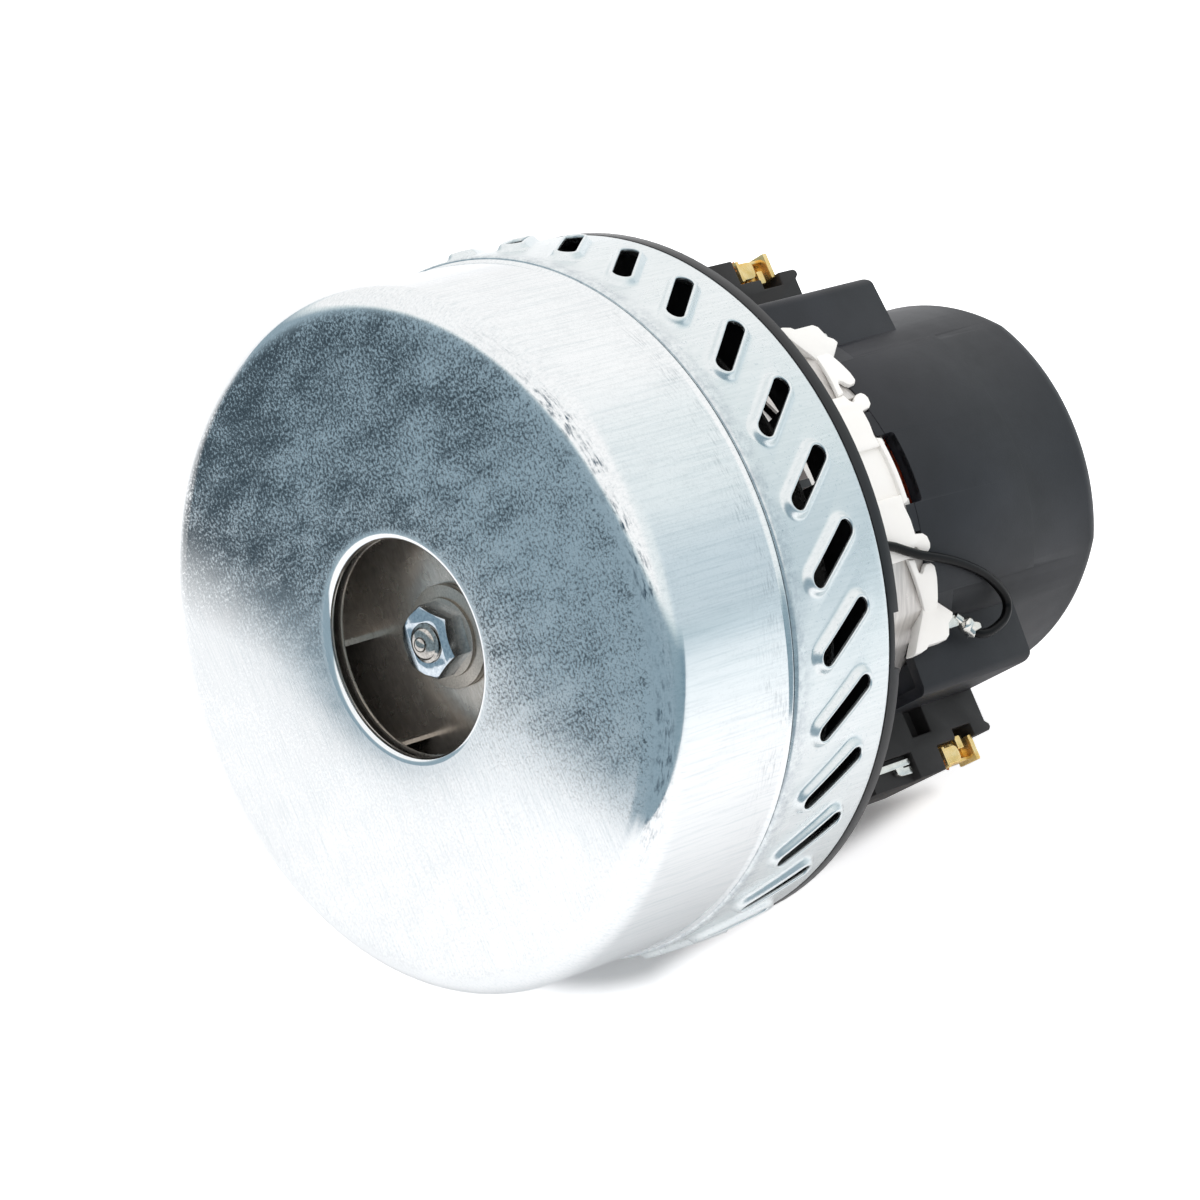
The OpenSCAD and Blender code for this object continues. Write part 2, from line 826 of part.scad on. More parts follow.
module field_coil() {
    sweep(coil_points, [for (p = coil_points) [0, 1, 0]], coil_wire_r, 6);
}

module field_coil_a() {
    color("#b8431f")
        field_coil();
}

module field_coil_b() {
    color("#b8431f")
        rotate([0, 0, 180])
            field_coil();
}

// Skirts that wrap the core beside each pole
module skirts(z0, z1, a0, a1, r0, r1) {
    for (s = [0, 180])
        arc_wall(r0, r1, s + a0, s + a1, z0, z1);
}

module front_frame() {
    color(ivory)
        difference() {
            union() {
                translate([0, 0, core_z - 2 * frame_t])
                    linear_extrude(2 * frame_t)
                        core_plan(0);
                skirts(core_z - 2 * frame_t, cover_edge - skirt_l - seat, 68, 112, core_r - 1, core_r + 0.2);
                skirts(core_z - 2 * frame_t, cover_edge - skirt_l - seat, 68, 112, core_r + 0.1, skirt_r);
            }
            translate([0, 0, core_z])
                cylinder(r = core_r + 0.1, h = core_l);
            post_places()
                translate([0, 0, core_z - 20])
                    cylinder(r = screw_r + fit, h = 40);
            lead_notch();
        }
}

// Notch through which the lead reaches the coil
module lead_notch() {
    rotate([0, 0, 106.5])
        translate([core_r - 3.4, -lead_r - clear, core_z - 2 * frame_t - 1])
            cube([8, 2 * (lead_r + clear), 2 * frame_t + 2.6]);
}

// Round pin through the skirt's wall at a turn and height
module round_head(a, z, r, r0, r1) {
    rotate([0, 0, a])
        translate([r0, 0, z])
            rotate([0, 90, 0])
                cylinder(r = r, h = r1 - r0, $fn = 32);
}

// Wall beside a pocket and two fingers with round heads that face each other across the wire's gap
module wire_clip() {
    r0 = core_r + 0.5;
    r1 = skirt_r - 0.15;
    top = core_end + hook_h;
    arc_wall(r0, r1, 45, clip_turn - 3.6, core_end + seat, top - 1.1);
    arc_wall(r0 + 0.1, r1 - 0.1, 46, clip_turn - 6.4, core_end + seat + 0.1, top);
    round_head(clip_turn - 6.2, top - 1.2, 1.2, r0 + 0.05, r1 + 0.02);
    round_head(clip_turn - 3.5, top - 1.75, 1.15, r0 + 0.05, r1 - 0.04);
    arc_wall(r0, r1, clip_turn + 2.9, clip_turn + 6.2, core_end - 2.4, core_end + hook_h - 2);
    round_head(clip_turn + 2.8, top - 1.95, 1.15, r0 + 0.05, r1 - 0.02);
    round_head(clip_turn + 4.4, top - 1.6, 1.05, r0 + 0.15, r1 - 0.06);
}

module rear_frame() {
    color(ivory)
        difference() {
            union() {
                translate([0, 0, core_end])
                    linear_extrude(frame_t)
                        core_plan(0.8);
                skirts(cover_edge - skirt_l, cover_edge - seat, 68, 112, core_r - 1, skirt_r);
                skirts(cover_edge - 1, core_end + frame_t - 0.1, 68.1, 111.9, core_r - 0.9, core_r + 0.7);
                skirts(cover_edge - 1, core_end - 0.6, 81, 99, core_r - 0.8, skirt_r - 0.1);
                four_corners() {
                    wire_clip();
                    terminal_pocket();
                }
            }
            translate([0, 0, core_z])
                cylinder(r = core_r + 0.1, h = core_l);
            post_places()
                translate([0, 0, core_z - 20])
                    cylinder(r = screw_r + fit, h = 80);
            skirts(cover_edge - skirt_l - 1, cover_edge - 0.6, 83.5, 98.5, skirt_r - 0.8, skirt_r + 1);
            skirts(core_end - 0.6, core_end + frame_t + 1, 82, 98, core_r - 3, skirt_r + 1);
        }
}

// Pocket for a tab terminal, with a pointed back
module terminal_pocket() {
    difference() {
        translate([0, pocket_y0, 0])
            mirror([0, 1, 0])
                rotate([90, 0, 0])
                    linear_extrude(pocket_y1 - pocket_y0)
                        polygon([[pocket_x0, pocket_z0], [pocket_x1, pocket_z0], [pocket_x1 - 0.2, pocket_z1 - 4.6],
                            [pocket_x1 - 3.2, pocket_z1 - 2.8], [pocket_x1 - 4, pocket_z1 - 0.4],
                            [pocket_x0 + 3.7, pocket_z1], [pocket_x0 + 0.4, pocket_z1 - 4.2]]);
        tab_space();
        core_clear();
    }
}

module core_clear() {
    translate([0, 0, core_z])
        cylinder(r = lobe_r + 0.5 + seat, h = core_l);
}

module tab_space() {
    translate([-tab_x - tab_w / 2 - fit, tab_y - fit, core_end + 1.5])
        cube([tab_w + 2 * fit, tab_t + 2 * fit, 40]);
}

module terminal_tabs() {
    color("#c7c9cc")
        four_corners()
            translate([-tab_x - tab_w / 2, tab_y, core_end + 1.5])
                cube([tab_w, tab_t, tab_end - core_end - 1.5]);
}

echo(lead_least_gap = least_gap(LEAD, lead_r, 6));

module lead_wire() {
    color("#1d1e20")
        sweep(LEAD, [for (p = LEAD) [0, 1, 0.2]], lead_r, 8);
}

// Rolled barrel on the end of the lead
module lead_crimp() {
    color("#c7c9cc")
        translate(crimp_at)
            rotate([0, crimp_tilt, 0])
                difference() {
                    cylinder(r = crimp_r, h = crimp_l, $fn = 32);
                    translate([0, 0, 0.8])
                        cylinder(r = lead_r + fit, h = crimp_l, $fn = 32);
                }
}

// Outside of the rear cover as a solid of revolution with a rounded rear edge
module dome_solid(r, b, z0, z1) {
    translate([0, 0, z0])
        rotate_extrude() {
            square([r, z1 - z0 - b]);
            square([r - b, z1 - z0]);
            intersection() {
                translate([r - b, z1 - z0 - b])
                    circle(r = b);
                square([r, z1 - z0]);
            }
        }
}

// Rear cover's round body with flatter brush sides, set in by d
module dome_form(d, z0) {
    intersection() {
        dome_solid(dome_r - d, dome_bend - d, z0, dome_end - d);
        translate([dome_side - dome_flat, 0, 0])
            dome_solid(dome_side - d, dome_bend - d, z0, dome_end - d);
        translate([dome_flat - dome_side, 0, 0])
            dome_solid(dome_side - d, dome_bend - d, z0, dome_end - d);
    }
}

// Hood plan with drafted sides and rounded outer corners
module hood_plan(wall) {
    x1 = hood_x - wall;
    y1 = hood_y - wall;
    b = max(hood_round - wall, 0.3);
    polygon([[-x1 + b, -y1], [x1 - b, -y1], [x1, -y1 + b], [x1, y1 - b], [x1 - b, y1], [x1 * 0.6, y1 + 1.2],
        [-x1 * 0.6, y1 + 1.2], [-x1 + b, y1], [-x1, y1 - b], [-x1, -y1 + b], [-x1 + b, -y1], [-x1 * 0.6, -y1 - 1.2],
        [x1 * 0.6, -y1 - 1.2], [x1 - b, -y1]]);
    for (x = [-1, 1])
        for (y = [-1, 1])
            translate([x * (x1 - b), y * (y1 - b)])
                circle(r = b, $fn = 32);
}

// Side view of the hoods, with rounded rear corners
module hood_side(wall, z0) {
    x1 = hood_x - wall;
    z1 = hood_end - wall;
    b = max(hood_round - wall, 0.3);
    translate([-x1, z0])
        square([2 * x1, z1 - z0 - b]);
    translate([-x1 + b, z0])
        square([2 * x1 - 2 * b, z1 - z0]);
    for (x = [-1, 1])
        translate([x * (x1 - b), z1 - b])
            circle(r = b, $fn = 32);
}

module hoods(wall, z0) {
    intersection() {
        linear_extrude(hood_end)
            hood_plan(wall);
        translate([0, 2 * hood_y, 0])
            rotate([90, 0, 0])
                linear_extrude(4 * hood_y)
                    hood_side(wall, z0);
    }
}

// Part of the rear cover's front edge that is cut back
module edge_cut(a0, a1, z1) {
    for (s = [0, 180])
        arc_wall(core_r - 4, dome_r + 4, s + a0, s + a1, hood_z - 1, z1);
}

module rear_cover() {
    color(black)
        difference() {
            union() {
                dome_form(0, cover_edge);
                for (s = [0, 180])
                    arc_wall(dome_r - 1, skirt_r - panel_step, s + 54, s + 126, cover_edge, panel_end);
                hoods(0, hood_z);
                cylinder_at(boss_r, dome_end - 1, dome_end + 2.4);
            }
            difference() {
                dome_form(dome_wall, hood_z - 1);
                cylinder_at(boss_r, bearing_r_z, dome_end);
            }
            hoods(dome_wall, hood_z - 1);
            cylinder_at(core_r + 1.1, hood_z - 1, core_end + frame_t + 0.6);
            core_clear();
            cylinder_at(bearing_r_r + fit, bearing_r_z - 1, bearing_r_z + bearing_r_w);
            cylinder_at(shaft_r + 2.4, bearing_r_z, shaft_end + clear);
            edge_cut(80, 100, cover_edge + 5);
            edge_cut(43.5, 72.5, hook_edge);
            edge_cut(107.5, 136.5, hook_edge);
            four_corners()
                translate([pocket_x0 - 0.4, pocket_y0 - 0.4, hood_z - 2])
                    cube([pocket_x1 - pocket_x0 + 0.8, 20, pocket_z1 - hood_z + 2.6]);
            for (s = [-1, 1])
                translate([s * hood_x - 4, -holder_y - seat, holder_front - seat])
                    cube([8, 2 * (holder_y + seat), holder_end - holder_front + 2 * seat]);
            for (i = [0:grille_n - 1])
                rotate([0, 0, (i + 0.5) * 360 / grille_n])
                    air_slot();
        }
}

// Radial air slot with round ends through the back face
module air_slot() {
    r0 = boss_r + 3 + grille_w / 2;
    r1 = dome_flat - dome_bend - 1 - grille_w / 2;
    translate([0, 0, dome_end - dome_wall - 1])
        linear_extrude(dome_wall + 2) {
            translate([r0, -grille_w / 2])
                square([r1 - r0, grille_w]);
            translate([r0, 0])
                circle(r = grille_w / 2, $fn = 32);
            translate([r1, 0])
                circle(r = grille_w / 2, $fn = 32);
        }
}

// Holder with its brush tunnel, front block, clip recess and rear lip, as one side view
module holder_side() {
    in_z = core_end + frame_t + 0.6;
    polygon([[core_flat + seat, holder_front], [block_x, holder_front], [block_x, block_end],
        [clip_floor, block_end], [clip_floor, brush_z], [clip_floor - 2.2, brush_z],
        [clip_floor - 2.2, brush_z + tube_z / 2 + 0.3], [holder_x, brush_z + tube_z / 2 + 0.3],
        [holder_x, holder_end + 0.4], [holder_x - 0.6, holder_end + 1], [lip_x, holder_end + 1],
        [lip_x - 0.8, holder_end], [hood_x - 2, holder_end], [hood_x - 2, hood_end - dome_wall - seat],
        [holder_in, hood_end - dome_wall - seat], [holder_in, in_z], [core_flat + seat, in_z]]);
}

module brush_holder() {
    difference() {
        translate([0, holder_y, 0])
            rotate([90, 0, 0])
                linear_extrude(2 * holder_y)
                    holder_side();
        translate([holder_in - 1, -tube_y / 2 - fit, brush_z - tube_z / 2 - fit])
            cube([60, tube_y + 2 * fit, tube_z + 2 * fit]);
        translate([fork_x - 0.8, holder_y - 2.4, holder_front - 1])
            cube([20, 4, fork_end + 2 - holder_front]);
        translate([hood_x, holder_y - 4, block_end - 5.8])
            cube([5.8, 8, 5.8]);
    }
}

module brush_holder_a() {
    color("#2b2826")
        brush_holder();
}

module brush_holder_b() {
    color("#2b2826")
        mirror([1, 0, 0])
            brush_holder();
}

// Brass guide tube with a closed outer end, in a bent connector clip
module brush_tube() {
    z0 = brush_z - tube_z / 2;
    z1 = brush_z + tube_z / 2;
    difference() {
        union() {
            translate([tube_in, -tube_y / 2, z0])
                cube([tube_end - tube_in, tube_y, tube_z]);
            translate([0, clip_y, 0])
                rotate([90, 0, 0])
                    linear_extrude(2 * clip_y)
                        clip_block(z0);
            translate([tube_end - 1, -clip_y, z0 + 4])
                cube([0.8, 2 * clip_y - 3.6, z1 - z0 - 5.4]);
            translate([clip_floor - 1, -clip_y, z1 - 2.1])
                cube([clip_x + 0.4 - clip_floor + 1, 2 * clip_y, 1.4]);
            translate([clip_floor - 0.6, clip_y - 1, brush_z + seat])
                cube([2.4, 1, 1.4]);
            translate([clip_floor + 0.6, clip_y - 1, z0 + 2])
                cube([1.2, 1, 5]);
        }
        translate([tube_in - 1, -brush_w / 2 - slide_play, brush_z - brush_h / 2 - slide_play])
            cube([tube_end - tube_in + 1 - tube_wall, brush_w + 2 * slide_play, brush_h + 2 * slide_play]);
    }
}

// Rounded front fold of the clip
module clip_block(z0) {
    translate([clip_floor + seat, z0 + 0.2])
        square([clip_x - clip_floor - seat - 1, 4.8]);
    translate([clip_floor + seat, z0 + 1.2])
        square([clip_x - clip_floor - seat, 2.8]);
    for (z = [z0 + 1.2, z0 + 4])
        translate([clip_x - 1, z])
            circle(r = 1, $fn = 32);
}

module brush_tube_a() {
    color(brass_tone)
        brush_tube();
}

module brush_tube_b() {
    color(brass_tone)
        mirror([1, 0, 0])
            brush_tube();
}

// Forked tab in the holder's recess
module brush_terminal() {
    translate([fork_x, holder_y - 2.3, holder_front + 0.6]) {
        cube([3.4, 1.6, fork_end - holder_front - 5.6]);
        for (x = [0, 2])
            translate([x, 0, 0])
                cube([1.4, 1.6, fork_end - holder_front - 0.6]);
    }
}

module brush_terminal_a() {
    color("#c7c9cc")
        brush_terminal();
}

module brush_terminal_b() {
    color("#c7c9cc")
        mirror([1, 0, 0])
            brush_terminal();
}

// Stepped shaft with a domed threaded end
module shaft() {
    color(steel)
        rotate_extrude() {
            translate([0, nut_z + 0.6])
                square([shaft_r, shoulder_z - nut_z - 0.6]);
            intersection() {
                translate([0, nut_z + 0.6 + shaft_r])
                    circle(r = shaft_r * 1.2);
                translate([0, nut_z - 1])
                    square([shaft_r, shaft_r]);
            }
            translate([0, shoulder_z])
                square([journal_r, bearing_f_z + bearing_f_w - shoulder_z]);
            translate([0, bearing_f_z + bearing_f_w])
                square([armature_shaft_r, fan_z - 1 - bearing_f_z - bearing_f_w]);
            translate([0, fan_z - 1])
                square([journal_r, bearing_r_z - fan_z + 1]);
            translate([0, bearing_r_z])
                square([shaft_r, shaft_end - bearing_r_z]);
        }
}

// Hexagon nut with chamfered corners
module lock_nut() {
    color("#bcc5cf")
        difference() {
            intersection() {
                cylinder_hex(nut_af, nut_z, shim_z);
                translate([0, 0, nut_z])
                    cylinder(r1 = nut_af * 0.5, r2 = nut_af * 0.5 + nut_h * 1.6, h = nut_h);
            }
            cylinder_at(shaft_r + fit, nut_z - 1, shim_z + 1);
        }
}

module cylinder_hex(af, z0, z1) {
    translate([0, 0, z0])
        rotate([0, 0, 12])
            cylinder(r = af / 2 / cos(30), h = z1 - z0, $fn = 6);
}

module thin_washer() {
    color("#8d9296")
        tube(shaft_r + fit, shim_r, shim_z, shim_z + shim_t);
}

module clamp_washer() {
    color("#8d8984")
        tube(shaft_r + fit, washer_r, washer_z, washer_z + washer_t);
}

module stage_spacer() {
    color(steel)
        tube(shaft_r + fit, spacer_r, imp1_back + imp_t, imp2_back);
}

module bearing_spacer() {
    color(steel)
        tube(journal_r + fit, spacer_r, shoulder_z, bearing_f_z);
}

// Slotted armature laminations
module armature_core() {
    color("#8d9196")
        difference() {
            tube(armature_shaft_r + fit, armature_r, core_z, core_end);
            for (i = [0:bar_n - 1])
                rotate([0, 0, i * 360 / bar_n])
                    translate([armature_r - 6, -1.5, core_z - 1])
                        cube([7, 3, core_l + 2]);
        }
}

// End turns at both ends and the bars of wire in the slots
module armature_winding() {
    color("#a8522a") {
        rotate_extrude()
            winding_end(core_z - end_turn, core_z - 0.05);
        rotate_extrude()
            winding_end(core_end + 0.05, core_end + end_turn);
        for (i = [0:bar_n - 1])
            rotate([0, 0, i * 360 / bar_n])
                translate([armature_r - 5.8, -1.2, core_z - 1])
                    cube([4.4, 2.4, core_l + 2]);
    }
}

module winding_end(z0, z1) {
    b = 3;
    translate([armature_shaft_r + fit, z0])
        square([armature_r - 2.6 - b - armature_shaft_r - fit, z1 - z0]);
    translate([armature_shaft_r + fit, z0 + b])
        square([armature_r - 2.6 - armature_shaft_r - fit, z1 - z0 - 2 * b]);
    for (z = [z0 + b, z1 - b])
        translate([armature_r - 2.6 - b, z])
            circle(r = b);
}

// Bars with mica gaps between them and risers at the winding
module commutator() {
    color("#b87a4a")
        difference() {
            union() {
                tube(armature_shaft_r + fit, comm_r, comm_z, comm_z + comm_l);
                tube(armature_shaft_r + fit, comm_r + 1.6, comm_z, comm_z + 2.4);
            }
            for (i = [0:2 * bar_n - 1])
                rotate([0, 0, (i + 0.5) * 180 / bar_n])
                    translate([comm_r - 0.8, -0.3, comm_z - 1])
                        cube([5, 0.6, comm_l + 2]);
        }
}

// Cooling fan with straight blades on a back disc
module cooling_fan() {
    color("#d8d4cc")
        difference() {
            union() {
                cylinder_at(fan_r, fan_z, fan_z + 1.6);
                cylinder_at(journal_r + 4, fan_z, fan_z + fan_h);
                for (i = [0:blade_n - 1])
                    rotate([0, 0, i * 360 / blade_n])
                        translate([journal_r + 3, -0.7, fan_z])
                            cube([fan_r - 1 - journal_r - 3, 1.4, fan_h]);
            }
            cylinder_at(journal_r + fit, fan_z - 1, fan_z + fan_h + 1);
        }
}

// Carbon brush with its inner end worn to the commutator
module carbon_brush() {
    difference() {
        translate([comm_r * 0.9, -brush_w / 2, brush_z - brush_h / 2])
            cube([brush_in + brush_l - comm_r * 0.9, brush_w, brush_h]);
        cylinder_at(brush_in, brush_z - brush_h, brush_z + brush_h);
    }
}

module carbon_brush_a() {
    color("#2a2a2c")
        carbon_brush();
}

module carbon_brush_b() {
    color("#2a2a2c")
        rotate([0, 0, 180])
            carbon_brush();
}

// Coil spring between the brush and the closed end of its tube
spring_r = brush_w / 2 - spring_wire_r - 0.1;
spring_x0 = spring_x + spring_wire_r + 0.1;
spring_x1 = tube_end - tube_wall - spring_wire_r - 0.1;
spring_points = [for (i = [0:8 * spring_n])
    let (a = i * 45)
    [spring_x0 + (spring_x1 - spring_x0) * i / (8 * spring_n), spring_r * cos(a), brush_z + spring_r * sin(a)]];
echo(spring_least_gap = least_gap(spring_points, spring_wire_r, 6));

module brush_spring() {
    sweep(spring_points, [for (p = spring_points) [1, 0, 0]], spring_wire_r, 6);
}

module brush_spring_a() {
    color("#9a9c9e")
        brush_spring();
}

module brush_spring_b() {
    color("#9a9c9e")
        rotate([0, 0, 180])
            brush_spring();
}

fan_cover();
louvre_ring();
stage_guide();
motor_bracket();
front_bearing();
bearing_retainer();
stator_core();
stator_screws();
field_coil_a();
field_coil_b();
front_frame();
rear_frame();
terminal_tabs();
lead_crimp();
lead_wire();
rear_cover();
rear_bearing();
brush_holder_a();
brush_holder_b();
brush_tube_a();
brush_tube_b();
brush_terminal_a();
brush_terminal_b();
shaft();
lock_nut();
thin_washer();
clamp_washer();
impeller_1_front();
impeller_1_vanes();
impeller_1_back();
stage_spacer();
impeller_2_front();
impeller_2_vanes();
impeller_2_back();
bearing_spacer();
front_bearing_race();
rear_bearing_race();
armature_core();
armature_winding();
commutator();
cooling_fan();
carbon_brush_a();
carbon_brush_b();
brush_spring_a();
brush_spring_b();
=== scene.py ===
import json
import math

import bmesh
import bpy
from mathutils import Matrix, Vector


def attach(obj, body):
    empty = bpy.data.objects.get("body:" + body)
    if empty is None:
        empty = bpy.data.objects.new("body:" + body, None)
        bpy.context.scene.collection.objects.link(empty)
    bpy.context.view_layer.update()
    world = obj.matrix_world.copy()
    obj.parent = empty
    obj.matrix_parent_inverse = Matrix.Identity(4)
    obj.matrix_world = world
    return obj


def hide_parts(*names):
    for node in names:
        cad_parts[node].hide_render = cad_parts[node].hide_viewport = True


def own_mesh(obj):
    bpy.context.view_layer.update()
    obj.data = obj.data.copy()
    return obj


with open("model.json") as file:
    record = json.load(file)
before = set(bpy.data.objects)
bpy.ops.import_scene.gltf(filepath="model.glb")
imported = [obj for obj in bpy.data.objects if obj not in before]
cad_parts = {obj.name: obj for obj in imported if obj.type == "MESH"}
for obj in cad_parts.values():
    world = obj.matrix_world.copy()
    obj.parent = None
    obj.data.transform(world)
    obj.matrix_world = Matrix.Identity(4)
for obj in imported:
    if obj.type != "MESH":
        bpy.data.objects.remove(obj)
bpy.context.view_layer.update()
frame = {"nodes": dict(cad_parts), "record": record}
NODES = frame["nodes"]
MM = 0.001

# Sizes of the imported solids, in millimetres
COVER_R = 71.0
SHEET = 0.9
INLET_R = 21.85
SEAM_Z = 35.0
RING_R = 72.0
RIM_Z = 62.0
SLOT_N = 30
SLOT_L = 16.2
SLOT_W = 3.6
SLOT_SLANT = 37.0
SLOT_Z = 48.0
SLOT_TURN = 7.4
CORE_R = 41.5
SKIRT_R = 44.2
CORE_Z = 82.0
CORE_END = 103.5
BRUSH_Z = 124.0
NUT_Z = 6.2
HOOD_Z = 92.9
HOOD_BACK = 9.0
HOOD_X = 33.0
HOOD_EDGE = 0.6
# Fuller dome: share of its width, heights in which it grows, and half widths in which it ends
DOME_FULLER = 0.03
DOME_GROWS = (106.0, 116.0)
DOME_ENDS = (40.5, 42.5)
# Half width and half height of a brush holder's slot, and the shares by which it is drawn in
HOLDER_SLOT = (4.2, 5.7)
SLOT_IN = (0.12, 0.1)
# Vanes of the first impeller: radius, lean, start and the height of the rivet tabs
VANE_R = 46.0
VANE_LEAN = math.radians(42)
VANE_FROM = 23.7
RIVET_Z = 12.95
# Angle from which an edge is sharp, in degrees
SHARP = 35.0

# The photograph's camera in the frame of the solids
CAMERA_AT = Vector((-0.1114, 0.7032, -0.6098))
CAMERA_RIGHT = Vector((-0.382836, 0.601825, 0.700888))
CAMERA_DOWN = Vector((-0.916906, -0.340161, -0.208746))
CAMERA_FORWARD = Vector((0.112786, -0.722563, 0.682042))
# Upward direction of the table on which the part lies: its rim, its rear end and one brush holder touch it
UP = Vector((0.7453, 0.5929, -0.305))


def hex_colour(text):
    """Linear RGBA of an sRGB hex value."""
    parts = [int(text[i:i + 2], 16) / 255 for i in (1, 3, 5)]
    return [c / 12.92 if c <= 0.04045 else ((c + 0.055) / 1.055) ** 2.4 for c in parts] + [1.0]


def add_node(tree, kind, inputs=None, stops=None, **settings):
    """One node with its settings, its ramp's stops, and a value or a link for each input."""
    made = tree.nodes.new(kind)
    for key, value in settings.items():
        setattr(made, key, value)
    if stops:
        ramp = made.color_ramp
        while len(ramp.elements) < len(stops):
            ramp.elements.new(0.5)
        for element, (place, colour) in zip(ramp.elements, stops):
            element.position = place
            element.color = hex_colour(colour) if isinstance(colour, str) else [colour] * 3 + [1]
    for key, value in (inputs or {}).items():
        socket = made.inputs[key]
        if isinstance(value, bpy.types.NodeSocket):
            tree.links.new(value, socket)
        else:
            socket.default_value = value
    return made


def new_material(name, **sockets):
    """A material with its principled shader and the object coordinates that its patterns read."""
    material = bpy.data.materials.new(name)
    material.use_nodes = True
    tree = material.node_tree
    shader = tree.nodes["Principled BSDF"]
    for key, value in sockets.items():
        shader.inputs[key.replace("_", " ")].default_value = value
    place = add_node(tree, "ShaderNodeTexCoord").outputs["Object"]
    return material, tree, shader, place


def pick(thing):
    """Selects one object alone and makes it active."""
    bpy.ops.object.select_all(action="DESELECT")
    thing.select_set(True)
    bpy.context.view_layer.objects.active = thing
    return thing


def place_piece(piece, body, slot, material, *nodes):
    """Gives a finished piece its material and body, and hides the nodes that it stands for; its slot is not used."""
    piece.data.materials.clear()
    piece.data.materials.append(material)
    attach(piece, body)
    if nodes:
        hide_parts(*nodes)
    return piece


def new_object(name, data):
    """An object in the scene with its data."""
    made = bpy.data.objects.new(name, data)
    bpy.context.scene.collection.objects.link(made)
    return made


def mesh_piece(name, points, faces, edges=()):
    """A mesh object from points in millimetres."""
    mesh = bpy.data.meshes.new(name)
    mesh.from_pydata([Vector(p) * MM for p in points], edges, faces)
    return new_object(name, mesh)


def close_seams(piece, angle=SHARP, gap=2e-6):
    """Merges doubles, turns the faces outwards and shades the piece smooth below an angle."""
    pick(piece)
    bpy.ops.object.mode_set(mode="EDIT")
    bpy.ops.mesh.select_all(action="SELECT")
    bpy.ops.mesh.remove_doubles(threshold=gap)
    bpy.ops.mesh.normals_make_consistent(inside=False)
    bpy.ops.object.mode_set(mode="OBJECT")
    bpy.ops.object.shade_smooth_by_angle(angle=math.radians(angle))
    return piece


def rounded(corners):
    """Closed outline of corners (x, y, radius) with each corner rounded."""
    made = []
    count = len(corners)
    for i, (x, y, radius) in enumerate(corners):
        here = Vector((x, y))
        back = (Vector(corners[i - 1][:2]) - here).normalized()
        ahead = (Vector(corners[(i + 1) % count][:2]) - here).normalized()
        turn = math.pi - back.angle(ahead)
        if radius <= 0 or turn < 0.01:
            made.append(here)
            continue
        reach = radius * math.tan(turn / 2)
        start, end = here + back * reach, here + ahead * reach
        middle = here + (back + ahead).normalized() * (radius / math.cos(turn / 2))
        steps = max(3, round(math.degrees(turn) / 7))
        first = start - middle
        swing = first.angle_signed(end - middle)
        for k in range(steps + 1):
            turned = Matrix.Rotation(-swing * k / steps, 2) @ first
            made.append(middle + turned)
    return made


def turned_piece(name, outline, steps=192):
    """A closed outline of (radius, height) points in millimetres, spun round the shaft's axis."""
    points = [(p[0], 0, p[1]) for p in outline]
    edges = [(i, (i + 1) % len(points)) for i in range(len(points))]
    piece = pick(mesh_piece(name, points, [], edges))
    bpy.ops.object.mode_set(mode="EDIT")
    bpy.ops.mesh.select_all(action="SELECT")
    bpy.ops.mesh.spin(steps=steps, angle=2 * math.pi, center=(0, 0, 0), axis=(0, 0, 1))
    bpy.ops.object.mode_set(mode="OBJECT")
    return close_seams(piece)


def round_edges(piece, width):
    """Rounds the sharp edges of the active piece."""
    bevel = piece.modifiers.new("round", "BEVEL")
    bevel.width = width * MM
    bevel.segments = 2
    bevel.limit_method = "ANGLE"
    bevel.angle_limit = math.radians(SHARP)
    bpy.ops.object.modifier_apply(modifier="round")


def softened_copy(node, name, width, shaping=None):
    """A merged copy of a CAD node, shaped by a function if there is one, with its sharp edges rounded."""
    piece = pick(new_object(name, NODES[node].data.copy()))
    bpy.ops.mesh.customdata_custom_splitnormals_clear()
    bpy.ops.object.mode_set(mode="EDIT")
    bpy.ops.mesh.select_all(action="SELECT")
    bpy.ops.mesh.remove_doubles(threshold=2e-6)
    bpy.ops.mesh.dissolve_limited(angle_limit=math.radians(0.4))
    bpy.ops.object.mode_set(mode="OBJECT")
    if shaping:
        shaping(piece)
    round_edges(piece, width)
    bpy.ops.object.shade_smooth_by_angle(angle=math.radians(SHARP))
    return piece


# Camera
lens = bpy.data.cameras.new("photo_camera")
lens.sensor_width = 36.0
lens.lens = 144.0
lens.clip_start = 0.05
lens.clip_end = 20.0
camera = new_object("photo_camera", lens)
turn = Matrix((CAMERA_RIGHT, -CAMERA_DOWN, -CAMERA_FORWARD)).transposed()
camera.matrix_world = Matrix.Translation(CAMERA_AT) @ turn.to_4x4()
bpy.context.scene.camera = camera
bpy.context.scene.view_settings.view_transform = "Standard"

# Galvanised steel sheet: bright zinc, dark pin specks in clouds, rolling lines on the face, and drawing streaks round
# the bend and ahead of the seam; specks gather left and thin out towards the table, and the streaks keep to the right
# of the bend: painted shade where the sheet mirrors the dark room
zinc, tree, shader, place = new_material("galvanised_steel", Metallic=1.0)
spangle = add_node(tree, "ShaderNodeTexNoise", {"Vector": place, "Scale": 1600.0, "Detail": 4.0, "Roughness": 0.8})
cloud_at = add_node(tree, "ShaderNodeMapping", {"Vector": place, "Scale": (190.0, 85.0, 190.0)})
cloud = add_node(tree, "ShaderNodeTexNoise", {
    "Vector": cloud_at.outputs["Vector"], "Scale": 1.0, "Detail": 5.0, "Roughness": 0.65})
blotch = add_node(tree, "ShaderNodeTexNoise", {"Vector": place, "Scale": 34.0, "Detail": 3.0, "Roughness": 0.55})
face_lines = add_node(tree, "ShaderNodeMapping", {"Vector": place, "Scale": (90.0, 2400.0, 0.0)})
side_lines = add_node(tree, "ShaderNodeMapping", {"Vector": place, "Scale": (1900.0, 1900.0, 60.0)})
